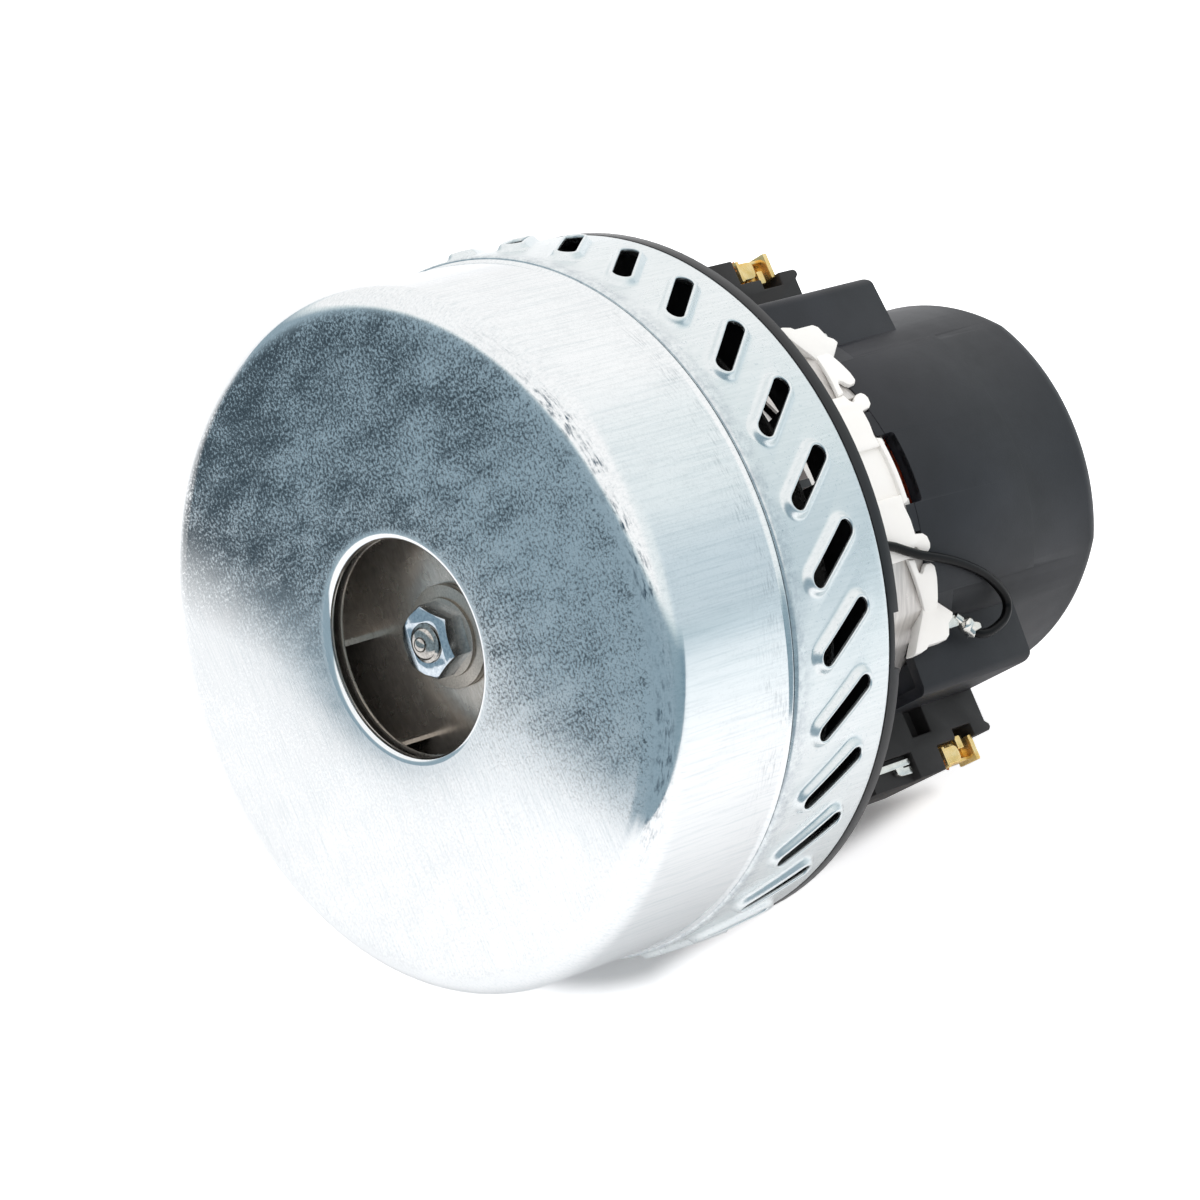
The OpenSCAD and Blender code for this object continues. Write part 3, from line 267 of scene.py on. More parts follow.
parts = add_node(tree, "ShaderNodeSeparateXYZ", {"Vector": place})
height = parts.outputs["Z"]
on_side = add_node(tree, "ShaderNodeMapRange", {"Value": height, "From Min": 0.0001, "From Max": 0.0009})
lines_at = add_node(tree, "ShaderNodeMix", {
    "Factor": on_side.outputs["Result"], "A": face_lines.outputs["Vector"], "B": side_lines.outputs["Vector"]},
    data_type="VECTOR")
lines = add_node(tree, "ShaderNodeTexNoise", {
    "Vector": lines_at.outputs["Result"], "Scale": 1.0, "Detail": 2.0, "Roughness": 0.6})
clouded = add_node(tree, "ShaderNodeMath", {
    0: cloud.outputs["Fac"], 1: 0.28, 2: spangle.outputs["Fac"]}, operation="MULTIPLY_ADD")
clouded = add_node(tree, "ShaderNodeMath", {
    0: blotch.outputs["Fac"], 1: 0.22, 2: clouded.outputs["Value"]}, operation="MULTIPLY_ADD")
# Painted shade: more specks towards the camera's left, where the face mirrors the dark room
toward_dark_left = add_node(tree, "ShaderNodeVectorMath", {0: place, 1: (0.62, -0.97, 0.0)}, operation="DOT_PRODUCT")
clouded = add_node(tree, "ShaderNodeMath", {
    0: clouded.outputs["Value"], 1: toward_dark_left.outputs["Value"]}, operation="SUBTRACT")
specks = add_node(tree, "ShaderNodeMapRange", {
    "Value": clouded.outputs["Value"], "From Min": 0.685, "From Max": 0.815, "To Min": 1.0, "To Max": 0.0})
less = add_node(tree, "ShaderNodeMapRange", {
    "Value": on_side.outputs["Result"], "To Min": 0.88, "To Max": 0.08})
# Painted shade: the specks thin out on the side towards the table, which the face mirrors white
to_rim = add_node(tree, "ShaderNodeVectorMath", {0: place, 1: (0.77, 0.64, 0.0)}, operation="DOT_PRODUCT")
dark_half_specks = add_node(tree, "ShaderNodeMapRange", {
    "Value": to_rim.outputs["Value"], "From Min": -0.016, "From Max": 0.004, "To Min": 0.16})
flat_at = add_node(tree, "ShaderNodeVectorMath", {0: place, 1: (1.0, 1.0, 0.0)}, operation="MULTIPLY")
from_axis = add_node(tree, "ShaderNodeVectorMath", {0: flat_at.outputs["Vector"]}, operation="LENGTH")
off_lip = add_node(tree, "ShaderNodeMapRange", {
    "Value": from_axis.outputs["Value"], "From Min": 0.0233, "From Max": 0.0245})
speck_and_shade_share = specks.outputs["Result"]
for share in (less, dark_half_specks, off_lip):
    speck_and_shade_share = add_node(tree, "ShaderNodeMath", {
        0: speck_and_shade_share, 1: share.outputs["Result"]}, operation="MULTIPLY").outputs["Value"]
streaks = add_node(tree, "ShaderNodeValToRGB", {"Fac": lines.outputs["Fac"]},
    stops=[(0.25, "#e9eef0"), (0.55, "#f9fbfc")])
tone = add_node(tree, "ShaderNodeMix", {
    "Factor": speck_and_shade_share, "A": streaks.outputs["Color"], "B": hex_colour("#3a464e")},
    data_type="RGBA")
# Streaks along the bend and the seam, from the turn round the shaft and the height: the sheet's own drawn marks, kept
# to the right of the bend as painted shade
turn_at = add_node(tree, "ShaderNodeMath", {0: parts.outputs["Y"], 1: parts.outputs["X"]}, operation="ARCTAN2")
turn_at = add_node(tree, "ShaderNodeMath", {0: turn_at.outputs["Value"], 1: 24.0}, operation="MULTIPLY")
high_at = add_node(tree, "ShaderNodeMath", {0: height, 1: 2100.0}, operation="MULTIPLY")
drawn_at = add_node(tree, "ShaderNodeCombineXYZ", {"X": turn_at.outputs["Value"], "Y": high_at.outputs["Value"]})
drawn = add_node(tree, "ShaderNodeTexNoise", {
    "Vector": drawn_at.outputs["Vector"], "Scale": 1.0, "Detail": 3.0, "Roughness": 0.65})
drawn = add_node(tree, "ShaderNodeMapRange", {"Value": drawn.outputs["Fac"], "From Min": 0.47, "From Max": 0.64})
to_seam = add_node(tree, "ShaderNodeMapRange", {
    "Value": height, "From Min": 0.022, "From Max": 0.0325, "To Max": 0.35}, interpolation_type="SMOOTHSTEP")
before_flare = add_node(tree, "ShaderNodeMapRange", {
    "Value": height, "From Min": 0.0332, "From Max": 0.0338, "To Min": 1.0, "To Max": 0.0})
to_seam = add_node(tree, "ShaderNodeMath", {
    0: to_seam.outputs["Result"], 1: before_flare.outputs["Result"]}, operation="MULTIPLY")
on_bend = add_node(tree, "ShaderNodeMapRange", {
    "Value": height, "From Min": 0.0005, "From Max": 0.0013, "To Max": 1.0}, interpolation_type="SMOOTHSTEP")
off_bend = add_node(tree, "ShaderNodeMapRange", {
    "Value": height, "From Min": 0.0022, "From Max": 0.0042, "To Min": 1.0, "To Max": 0.0},
    interpolation_type="SMOOTHSTEP")
on_bend = add_node(tree, "ShaderNodeMath", {
    0: on_bend.outputs["Result"], 1: off_bend.outputs["Result"]}, operation="MULTIPLY")
drawn_and_shaded = add_node(tree, "ShaderNodeMath", {
    0: to_seam.outputs["Value"], 1: on_bend.outputs["Value"]}, operation="MAXIMUM").outputs["Value"]
patchy = add_node(tree, "ShaderNodeMapRange", {"Value": cloud.outputs["Fac"], "From Min": 0.42, "From Max": 0.6})
# Painted shade: the dark streaks only on the right of the bend and seam, where the bend mirrors the dark room
to_right = add_node(tree, "ShaderNodeVectorMath", {0: place, 1: (-0.151, 0.989, 0.0)}, operation="DOT_PRODUCT")
dark_mirror_side = add_node(tree, "ShaderNodeMapRange", {
    "Value": to_right.outputs["Value"], "From Min": 0.04, "From Max": 0.06})
for share in (patchy, drawn, dark_mirror_side):
    drawn_and_shaded = add_node(tree, "ShaderNodeMath", {
        0: drawn_and_shaded, 1: share.outputs["Result"]}, operation="MULTIPLY").outputs["Value"]
tone = add_node(tree, "ShaderNodeMix", {
    "Factor": drawn_and_shaded, "A": tone.outputs["Result"], "B": hex_colour("#485c6b")}, data_type="RGBA")
tree.links.new(tone.outputs["Result"], shader.inputs["Base Color"])
gloss = add_node(tree, "ShaderNodeMapRange", {
    "Value": cloud.outputs["Fac"], "From Min": 0.3, "From Max": 0.7, "To Min": 0.1, "To Max": 0.15})
# The stretched metal of the bend is smoother
stretched = add_node(tree, "ShaderNodeMapRange", {"Value": on_bend.outputs["Value"], "To Min": 1.0, "To Max": 0.5})
gloss = add_node(tree, "ShaderNodeMath", {
    0: gloss.outputs["Result"], 1: stretched.outputs["Result"]}, operation="MULTIPLY")
tree.links.new(gloss.outputs["Value"], shader.inputs["Roughness"])
bump = add_node(tree, "ShaderNodeBump", {
    "Height": lines.outputs["Fac"], "Strength": 0.035, "Distance": 0.0001})
tree.links.new(bump.outputs["Normal"], shader.inputs["Normal"])

# Pressed galvanised ring: satin zinc with drawing lines, and rubbed streaks along its front hem
satin_zinc, tree, shader, place = new_material("pressed_zinc", Metallic=1.0)
draw_at = add_node(tree, "ShaderNodeMapping", {"Vector": place, "Scale": (2200.0, 2200.0, 110.0)})
draw = add_node(tree, "ShaderNodeTexNoise", {
    "Vector": draw_at.outputs["Vector"], "Scale": 1.0, "Detail": 2.0, "Roughness": 0.6})
grain = add_node(tree, "ShaderNodeTexNoise", {"Vector": place, "Scale": 1800.0, "Detail": 3.0, "Roughness": 0.6})
haze = add_node(tree, "ShaderNodeTexNoise", {"Vector": place, "Scale": 90.0, "Detail": 3.0})
height = add_node(tree, "ShaderNodeSeparateXYZ", {"Vector": place}).outputs["Z"]
hem = add_node(tree, "ShaderNodeMapRange", {
    "Value": height, "From Min": 0.0362, "From Max": 0.0402, "To Min": 0.4, "To Max": 0.0},
    interpolation_type="SMOOTHSTEP")
rub = add_node(tree, "ShaderNodeTexNoise", {"Vector": place, "Scale": 560.0, "Detail": 5.0, "Roughness": 0.75})
rub_mask = add_node(tree, "ShaderNodeMapRange", {
    "Value": rub.outputs["Fac"], "From Min": 0.4, "From Max": 0.64})
rubbed = add_node(tree, "ShaderNodeMath", {
    0: rub_mask.outputs["Result"], 1: hem.outputs["Result"]}, operation="MULTIPLY")
satin = add_node(tree, "ShaderNodeValToRGB", {"Fac": draw.outputs["Fac"]},
    stops=[(0.25, "#e4eaeb"), (0.7, "#f0f4f5")])
specks = add_node(tree, "ShaderNodeValToRGB", {"Fac": grain.outputs["Fac"]},
    stops=[(0.3, "#dfe5e8"), (0.4, "#ffffff")])
tone = add_node(tree, "ShaderNodeMix", {
    "Factor": 0.8, "A": satin.outputs["Color"], "B": specks.outputs["Color"]},
    data_type="RGBA", blend_type="MULTIPLY")
dulled = add_node(tree, "ShaderNodeMix", {
    "Factor": rubbed.outputs["Value"], "A": tone.outputs["Result"], "B": hex_colour("#8e9aa7")}, data_type="RGBA")
tree.links.new(dulled.outputs["Result"], shader.inputs["Base Color"])
gloss = add_node(tree, "ShaderNodeMapRange", {
    "Value": haze.outputs["Fac"], "From Min": 0.3, "From Max": 0.7, "To Min": 0.24, "To Max": 0.32})
tree.links.new(gloss.outputs["Result"], shader.inputs["Roughness"])
bump = add_node(tree, "ShaderNodeBump", {
    "Height": draw.outputs["Fac"], "Strength": 0.05, "Distance": 0.0001})
tree.links.new(bump.outputs["Normal"], shader.inputs["Normal"])


def metal(name, dark, light, grain_mm, rough, bump_strength=0.08, stretch=(1.0, 1.0, 1.0), bare=1.0):
    """A metal with a fine grain that varies its tone and gloss, bare or a little dulled."""
    made, tree, shader, place = new_material(name, Metallic=bare)
    scale = 1 / (grain_mm * MM)
    at = add_node(tree, "ShaderNodeMapping", {"Vector": place, "Scale": tuple(scale * s for s in stretch)})
    grain = add_node(tree, "ShaderNodeTexNoise", {
        "Vector": at.outputs["Vector"], "Scale": 1.0, "Detail": 4.0, "Roughness": 0.6})
    cloud = add_node(tree, "ShaderNodeTexNoise", {"Vector": place, "Scale": 220.0, "Detail": 2.0})
    tone = add_node(tree, "ShaderNodeValToRGB", {"Fac": grain.outputs["Fac"]}, stops=[(0.3, dark), (0.68, light)])
    tree.links.new(tone.outputs["Color"], shader.inputs["Base Color"])
    gloss = add_node(tree, "ShaderNodeMapRange", {
        "Value": cloud.outputs["Fac"], "From Min": 0.3, "From Max": 0.7, "To Min": rough * 0.8, "To Max": rough * 1.25})
    tree.links.new(gloss.outputs["Result"], shader.inputs["Roughness"])
    bump = add_node(tree, "ShaderNodeBump", {
        "Height": grain.outputs["Fac"], "Strength": bump_strength, "Distance": 0.0002})
    tree.links.new(bump.outputs["Normal"], shader.inputs["Normal"])
    return made


def moulded(name, dark, light, grain_mm, rough, bump_strength=0.15, ior=1.5):
    """A moulded plastic with a fine grain and a slow change of tone and gloss."""
    made, tree, shader, place = new_material(name, IOR=ior)
    grain = add_node(tree, "ShaderNodeTexNoise", {
        "Vector": place, "Scale": 1 / (grain_mm * MM), "Detail": 3.0, "Roughness": 0.6})
    cloud = add_node(tree, "ShaderNodeTexNoise", {"Vector": place, "Scale": 55.0, "Detail": 4.0, "Roughness": 0.6})
    tone = add_node(tree, "ShaderNodeValToRGB", {"Fac": cloud.outputs["Fac"]}, stops=[(0.3, dark), (0.7, light)])
    tree.links.new(tone.outputs["Color"], shader.inputs["Base Color"])
    gloss = add_node(tree, "ShaderNodeMapRange", {
        "Value": cloud.outputs["Fac"], "From Min": 0.3, "From Max": 0.7, "To Min": rough * 1.1, "To Max": rough * 0.9})
    tree.links.new(gloss.outputs["Result"], shader.inputs["Roughness"])
    bump = add_node(tree, "ShaderNodeBump", {
        "Height": grain.outputs["Fac"], "Strength": bump_strength, "Distance": 0.0002})
    tree.links.new(bump.outputs["Normal"], shader.inputs["Normal"])
    return made


# Glass-filled nylon: near black, matt, with the fine texture of the mould
black_nylon = moulded("glass_filled_nylon", "#16181d", "#1c1e25", 0.35, 0.5)
# The same nylon on the bracket, blacker and smoother
bracket_nylon = moulded("black_nylon", "#131315", "#1a1a1d", 0.35, 0.3, 0.08)
# Phenolic moulding of the brush holders: brownish black, a little duller
phenolic = moulded("phenolic_moulding", "#1c1a1a", "#242121", 0.3, 0.55)
# Polyester moulding of the end frames: ivory white with a soft gloss
ivory = moulded("ivory_polyester", "#f7f5f1", "#fcfbf8", 0.5, 0.42, 0.08)
# Heat-proof sleeve of the lead: satin black
sleeve = moulded("silicone_sleeve", "#060607", "#0b0b0d", 0.3, 0.27, 0.06, 1.25)
# Pressed carbon of the brushes: dull black with a powdery grain
carbon = moulded("pressed_carbon", "#18181a", "#252527", 0.2, 0.7, 0.25)
# Enamel on the copper wire: orange red and glossy
enamel = moulded("enamelled_copper", "#b8381a", "#d24d26", 0.6, 0.3, 0.05)
# Bright brass strip
brass = metal("bright_brass", "#f6cb72", "#ffe7ae", 3.0, 0.24, 0.01, bare=0.85)
# Tinned brass of the tabs
tinned = metal("tinned_brass", "#e2e0da", "#f6f4ef", 2.5, 0.22, 0.01)
# Turned and ground steel
steel = metal("turned_steel", "#9c9894", "#dad6d0", 0.6, 0.15, 0.04)
# Plated steel of the washers: warm grey, a little dull
washer_steel = metal("plated_washer_steel", "#b4ada4", "#d6cfc5", 0.4, 0.4, 0.06, bare=0.8)
# Bright blue zinc plate on the lock nut
blue_zinc = metal("blue_zinc_plate", "#b9c6d2", "#e4ecf2", 0.6, 0.12, 0.03)
# Rolled aluminium of the impellers: warm from its surroundings, with rolling lines
rolled_aluminium = metal("rolled_aluminium", "#bcb4ab", "#dcd6ce", 0.35, 0.24, 0.04, (0.2, 1.0, 1.0), 0.87)
# Further in, from 14.2 to 20 mm, the colour greys: painted shade deep inside the fan
aluminium_tree = rolled_aluminium.node_tree
depth_at = add_node(aluminium_tree, "ShaderNodeSeparateXYZ", {
    "Vector": add_node(aluminium_tree, "ShaderNodeTexCoord").outputs["Object"]})
inner_shade = add_node(aluminium_tree, "ShaderNodeMapRange", {
    "Value": depth_at.outputs["Z"], "From Min": 0.0142, "From Max": 0.02, "To Min": 1.0, "To Max": 0.25})
bare = aluminium_tree.nodes["Principled BSDF"].inputs["Base Color"].links[0].from_socket
inner_shaded = add_node(aluminium_tree, "ShaderNodeMix", {
    "Factor": inner_shade.outputs["Result"], "A": hex_colour("#8f9194"), "B": bare}, data_type="RGBA")
aluminium_tree.links.new(inner_shaded.outputs["Result"], aluminium_tree.nodes["Principled BSDF"].inputs["Base Color"])
# Mill-finished sheet of the guide, darkened: painted shade inside the fan
shaded_mill_sheet = metal("shaded_mill_sheet", "#4c4d4e", "#67696a", 0.6, 0.4)
# Stack of electrical steel sheets, drawn coarser than the real 0.5 mm so that it shows
stack = metal("steel_laminations", "#c4c0bd", "#e3dfdb", 0.7, 0.34, 0.06, (0.08, 0.08, 1.0), 0.5)
# Hard-drawn copper of the commutator
copper = metal("turned_copper", "#a8643a", "#cf8a58", 0.4, 0.25)
# Drawn spring wire
spring_wire = metal("drawn_spring_wire", "#7d7f82", "#a6a8aa", 0.4, 0.28)

FINISH = {
    "zinc_sheet": zinc, "inner_sheet": shaded_mill_sheet, "black_plastic": black_nylon, "holder_plastic": phenolic,
    "bearing_steel": steel, "steel": steel, "bright_zinc": blue_zinc, "lamination": stack, "enamel_wire": enamel,
    "ivory_plastic": ivory, "tinned_metal": tinned, "wire_sleeve": sleeve, "brass": brass,
    "impeller_sheet": rolled_aluminium, "copper": copper, "carbon": carbon, "spring_steel": spring_wire}
for part in frame["record"]["subparts"]:
    for slot in NODES[part["node"]].material_slots:
        slot.material = FINISH[part["material_slot"]]


def smooth_line(points, per_span):
    """Points along a smooth curve through the given ones."""
    made = []
    last = len(points) - 1
    for i in range(last):
        a, b = points[max(i - 1, 0)], points[i]
        c, d = points[i + 1], points[min(i + 2, last)]
        for k in range(per_span):
            t = k / per_span
            made.append(0.5 * ((2 * b) + (c - a) * t + (2 * a - 5 * b + 4 * c - d) * t * t
                + (3 * b - a - 3 * c + d) * t ** 3))
    return made + [points[last]]


def wire_curve(name, points, radius, sides=6):
    """A round wire along points in metres, as one open curve."""
    data = bpy.data.curves.new(name, "CURVE")
    data.dimensions = "3D"
    data.bevel_depth = radius
    data.bevel_resolution = sides
    data.use_fill_caps = True
    spline = data.splines.new("POLY")
    spline.points.add(len(points) - 1)
    for spot, point in zip(spline.points, points):
        spot.co = (*point, 1)
        spot.radius = 1
    spline.use_smooth = True
    return new_object(name, data)


def wire_mesh(name, points, radius, sides):
    """A round wire as a smooth mesh."""
    pick(wire_curve(name, points, radius, sides))
    bpy.ops.object.convert(target="MESH")
    bpy.ops.object.shade_smooth()
    return bpy.context.object


# Lead wire, on the route of its solid
LEAD_FRONT = [(-0.258, 0.864, -1.8), (-0.269, 0.914, -1.8), (-0.278, 0.959, -1.2), (-0.285, 0.982, 0.6),
    (-0.294, 0.989, 3.5), (-0.312, 0.984, 7.5), (-0.339, 0.973, 12), (-0.376, 0.959, 16)]
LEAD_REAR = [(-0.412, 0.946, -1.3), (-0.443, 0.932, 3.5), (-0.482, 0.912, 8.8), (-0.529, 0.885, 14),
    (-0.575, 0.855, 18.3), (-0.629, 0.819, 22), (-0.679, 0.787, 24.5), (-0.719, 0.765, 25.5),
    (-0.756, 0.751, 25.1), (-0.79, 0.747, 23.3), (-0.812, 0.747, 20.5), (-0.823, 0.747, 17.7),
    (-0.819, 0.747, 15.5)]
LEAD_END = [(-2.65, 0, 2.3), (-1.9, 0, 1.65), (-1.2, 0, 1)]
CRIMP_AT = Vector((-0.771 * CORE_R - 1, 0.795 * CORE_R, 115.4))
route = [Vector((x * SKIRT_R, y * SKIRT_R, CORE_Z + z)) * MM for x, y, z in LEAD_FRONT]
route += [Vector((x * SKIRT_R, y * SKIRT_R, CORE_END + z)) * MM for x, y, z in LEAD_REAR]
route += [(CRIMP_AT + Vector(p)) * MM for p in LEAD_END]
line = smooth_line(route, 6)
lead = wire_curve("lead_wire_sleeve", line, 1.0 * MM)
place_piece(lead, "motor_frame", "wire_sleeve", sleeve, "lead_wire")

# Fan cover: drawn sheet with a short turned inlet lip, and a flare ahead of the seam
cover = turned_piece("fan_cover_shell", rounded([
    (INLET_R, 1.7, 0.15), (INLET_R, 0, 1.4), (COVER_R, 0, 6.7), (COVER_R, 33.7, 1.2), (COVER_R + 0.45, 34.6, 0.3),
    (COVER_R + 0.4, 34.85, 0.1), (COVER_R - 0.2, 34.9, 0.1), (COVER_R - 0.12, 39, 0.2), (COVER_R - SHEET, 39, 0.2),
    (COVER_R - SHEET, SHEET, 5.8), (INLET_R + SHEET, SHEET, 0.5), (INLET_R + SHEET, 1.7, 0.15)]), 256)
place_piece(cover, "motor_frame", "zinc_sheet", zinc, "fan_cover")

# Louvre ring: one cell with its slanted slot and raised rim, repeated round the shaft
PITCH = 2 * math.pi / SLOT_N
CELL_LOW, CELL_HIGH = SEAM_Z - SLOT_Z, RIM_Z - SLOT_Z
# Steps along the top and the sides of a cell
CELL_TOP = 14
CELL_SIDE = 20
# Raised rim outward from the slot: distance from the slot's middle line, height above the ring
RIM = [(1.8, 0.72), (1.8, 1.16), (1.86, 1.33), (2.0, 1.45), (2.2, 1.5), (2.42, 1.42), (2.64, 1.2), (2.88, 0.86),
    (3.12, 0.5), (3.38, 0.22), (3.7, 0.05), (4.0, 0.0)]
# The same rim on the inside of the sheet, inward to the slot
RIM_IN = [(4.0, -0.9), (3.5, -0.8), (3.1, -0.42), (2.7, 0.06), (2.3, 0.44), (1.95, 0.6)]
# Rounded hems of the ring: distance from its front or rear edge, height above the ring
HEM = [(0.7, 0.0), (0.42, -0.06), (0.2, -0.2), (0.06, -0.42), (0.0, -0.7), (0.0, -0.85), (0.1, -0.9)]
slant = math.radians(SLOT_SLANT)
along = Vector((math.sin(slant), -math.cos(slant)))
across = Vector((math.cos(slant), math.sin(slant)))
half_run = (SLOT_L - SLOT_W) / 2


def on_ring(spot, height):
    """Point of the ring from its place on the flattened cell."""
    turn = spot.x / RING_R
    r = RING_R + height
    return (r * math.cos(turn), r * math.sin(turn), SLOT_Z + spot.y)


def cell_edge():
    """Corners and side points of the slanted cell, counter-clockwise from the lower left."""
    width, low, high = PITCH * RING_R, CELL_LOW, CELL_HIGH

    def left(y):
        """Left side of the cell at a height."""
        return -math.tan(slant) * y - width / 2

    made = [Vector((left(low) + width * k / CELL_TOP, low)) for k in range(CELL_TOP)]
    heights = [low + (high - low) * k / CELL_SIDE for k in range(CELL_SIDE + 1)]
    made += [Vector((left(y) + width, y)) for y in heights[:-1]]
    made += [Vector((left(high) + width * (1 - k / CELL_TOP), high)) for k in range(CELL_TOP)]
    made += [Vector((left(y), y)) for y in reversed(heights[1:])]
    return made


def slot_ring(distance):
    """Points at a distance from the slot's middle line, in step with the cell's edge."""
    made = []
    for end in (1, -1):
        for k in range(CELL_TOP):
            turn = math.pi * k / CELL_TOP
            ahead = along * math.sin(turn) - across * math.cos(turn)
            made.append(end * (along * half_run + ahead * distance))
        for k in range(CELL_SIDE):
            made.append(end * (along * half_run * (1 - 2 * k / CELL_SIDE) + across * distance))
    return made


edge = cell_edge()
count = len(edge)
rows = [[on_ring(p, h) for p in slot_ring(d)] for d, h in RIM]
outer = slot_ring(RIM[-1][0])
for share in (0.35, 0.7):
    rows.append([on_ring(a.lerp(b, share), 0) for a, b in zip(outer, edge)])
for inset, height in HEM:
    row = []
    for p in edge:
        y = max(CELL_LOW + inset, min(CELL_HIGH - inset, p.y))
        row.append(on_ring(Vector((p.x - math.tan(slant) * (y - p.y), y)), height))
    rows.append(row)
rows.append([on_ring(a.lerp(b, 0.5), -0.9) for a, b in zip(outer, edge)])
rows += [[on_ring(p, h) for p in slot_ring(d)] for d, h in RIM_IN]
points = [p for row in rows for p in row]
faces = []
for i in range(len(rows)):
    j = (i + 1) % len(rows)
    for k in range(count):
        n = (k + 1) % count
        faces.append((i * count + k, i * count + n, j * count + n, j * count + k))
side_row = len(RIM) + 2
points_all, faces_all = [], []
for s in range(SLOT_N):
    spin = Matrix.Rotation(math.radians(SLOT_TURN) + s * PITCH, 3, "Z")
    start = len(points_all)
    points_all += [spin @ Vector(p) for p in points]
    for face in faces:
        row, spot = face[0] // count, face[0] % count
        beside = CELL_TOP <= spot < CELL_TOP + CELL_SIDE or spot >= 2 * CELL_TOP + CELL_SIDE
        if beside and side_row <= row < side_row + len(HEM) - 1:
            continue
        faces_all.append([start + f for f in face])
ring = close_seams(mesh_piece("louvre_ring_shell", points_all, faces_all), 40.0, 2e-5)
place_piece(ring, "motor_frame", "zinc_sheet", satin_zinc, "louvre_ring")

# Rigid pieces that keep their solid's form, with rounded edges
SOFTENED = [
    ("rear_cover", "rear_cover_moulding", 0.35, "motor_frame", "black_plastic", black_nylon),
    ("motor_bracket", "bracket_moulding", 0.25, "motor_frame", "black_plastic", bracket_nylon),
    ("front_frame", "front_frame_moulding", 0.25, "motor_frame", "ivory_plastic", ivory),
    ("brush_holder_a", "brush_holder_moulding_a", 0.3, "motor_frame", "holder_plastic", phenolic),
    ("brush_holder_b", "brush_holder_moulding_b", 0.3, "motor_frame", "holder_plastic", phenolic),
    ("lock_nut", "hexagon_nut", 0.2, "rotor", "bright_zinc", blue_zinc),
    ("clamp_washer", "plain_washer", 0.15, "rotor", "steel", washer_steel),
    ("thin_washer", "shim_washer", 0.15, "rotor", "steel", washer_steel),
    ("impeller_1_front", "first_eye_disc", 0.2, "rotor", "impeller_sheet", rolled_aluminium),
]


def close_slot(piece):
    """Draws a brush holder's slot in under the brass tube, which leaves room for its rounded edges."""
    for v in piece.data.vertices:
        z = v.co.z - BRUSH_Z * MM
        if abs(v.co.y) < HOLDER_SLOT[0] * MM and abs(z) < HOLDER_SLOT[1] * MM:
            v.co.y -= v.co.y * SLOT_IN[0]
            v.co.z -= z * SLOT_IN[1]


def smooth_step(value, start, end):
    """Smooth change from 0 to 1 between two values."""
    t = max(0.0, min(1.0, (value - start) / (end - start)))
    return t * t * (3 - 2 * t)


def fuller_dome(piece):
    """Makes the rear cover's dome a little fuller on its brush sides than the solid."""
    for v in piece.data.vertices:
        grown = smooth_step(v.co.z / MM, *DOME_GROWS) * (1 - smooth_step(abs(v.co.x) / MM, *DOME_ENDS))
        v.co.x *= 1 + DOME_FULLER * grown
    return piece


for node, name, width, body, slot, finish in SOFTENED:
    piece = softened_copy(node, name, width, close_slot if slot == "holder_plastic" else None)
    if node == "rear_cover":
        fuller_dome(piece)
        # Lower hood starts a little further back than in the solid, up to the front of the dome
        for v in piece.data.vertices:
            if v.co.x < -HOOD_X * MM and v.co.z < CORE_END * MM:
                share = (CORE_END * MM - v.co.z) / ((CORE_END - HOOD_Z - HOOD_EDGE) * MM)
                v.co.z += HOOD_BACK * MM * min(share, 1.0)
    place_piece(piece, body, slot, finish, node)


def plate(name, outline, thickness, soft=0.25):
    """A flat plate: an outline of (x, y) points in millimetres, extruded upwards, with soft edges."""
    piece = mesh_piece(name, [(x, y, 0) for x, y in outline], [tuple(range(len(outline)))])
    pick(piece)
    bpy.ops.object.mode_set(mode="EDIT")
    bpy.ops.mesh.select_all(action="SELECT")
    bpy.ops.mesh.extrude_region_move(TRANSFORM_OT_translate={"value": (0, 0, thickness * MM)})
    bpy.ops.mesh.select_all(action="SELECT")
    bpy.ops.mesh.normals_make_consistent(inside=False)
    bpy.ops.object.mode_set(mode="OBJECT")
    round_edges(piece, soft)
    return close_seams(piece)


def bent_plate(name, outline, r_in, r_out, soft=0.25):
    """A plate cut to an outline of (turn in degrees, height) and bent round the shaft's axis."""
    piece = plate(name, [(math.radians(a) * r_out, z) for a, z in outline], r_out - r_in, soft)
    grid = bmesh.new()
    grid.from_mesh(piece.data)
    low, high = min(v.co.x for v in grid.verts), max(v.co.x for v in grid.verts)
    steps = max(2, int((high - low) / 0.0012))
    for k in range(1, steps):
        every = grid.verts[:] + grid.edges[:] + grid.faces[:]
        bmesh.ops.bisect_plane(grid, geom=every, plane_co=(low + (high - low) * k / steps, 0, 0), plane_no=(1, 0, 0))
    for v in grid.verts:
        turn, r = v.co.x / (r_out * MM), r_in * MM + v.co.z
        v.co = (r * math.cos(turn), r * math.sin(turn), v.co.y)
    grid.to_mesh(piece.data)
    grid.free()
    return close_seams(piece)


def side_plate(name, outline, y0, y1, side, soft=0.25):
    """A plate of (x, z) points that stands square to the y axis, on one side of the shaft."""
    piece = plate(name, outline, y1 - y0, soft)
    piece.data.transform(Matrix(((side, 0, 0, 0), (0, 0, 1, y0 * MM), (0, 1, 0, 0), (0, 0, 0, 1))))
    return close_seams(piece)


def turn_over(piece, half_turn):
    """Gives a piece a half turn round the shaft's axis."""
    if half_turn:
        piece.data.transform(Matrix.Rotation(math.pi, 4, "Z"))
    return piece


def joined(name, pieces):
    """Joins finished pieces into one object."""
    pick(pieces[0])
    for piece in pieces:
        piece.select_set(True)
    bpy.ops.object.join()
    made = bpy.context.object
    made.name = name
    return made


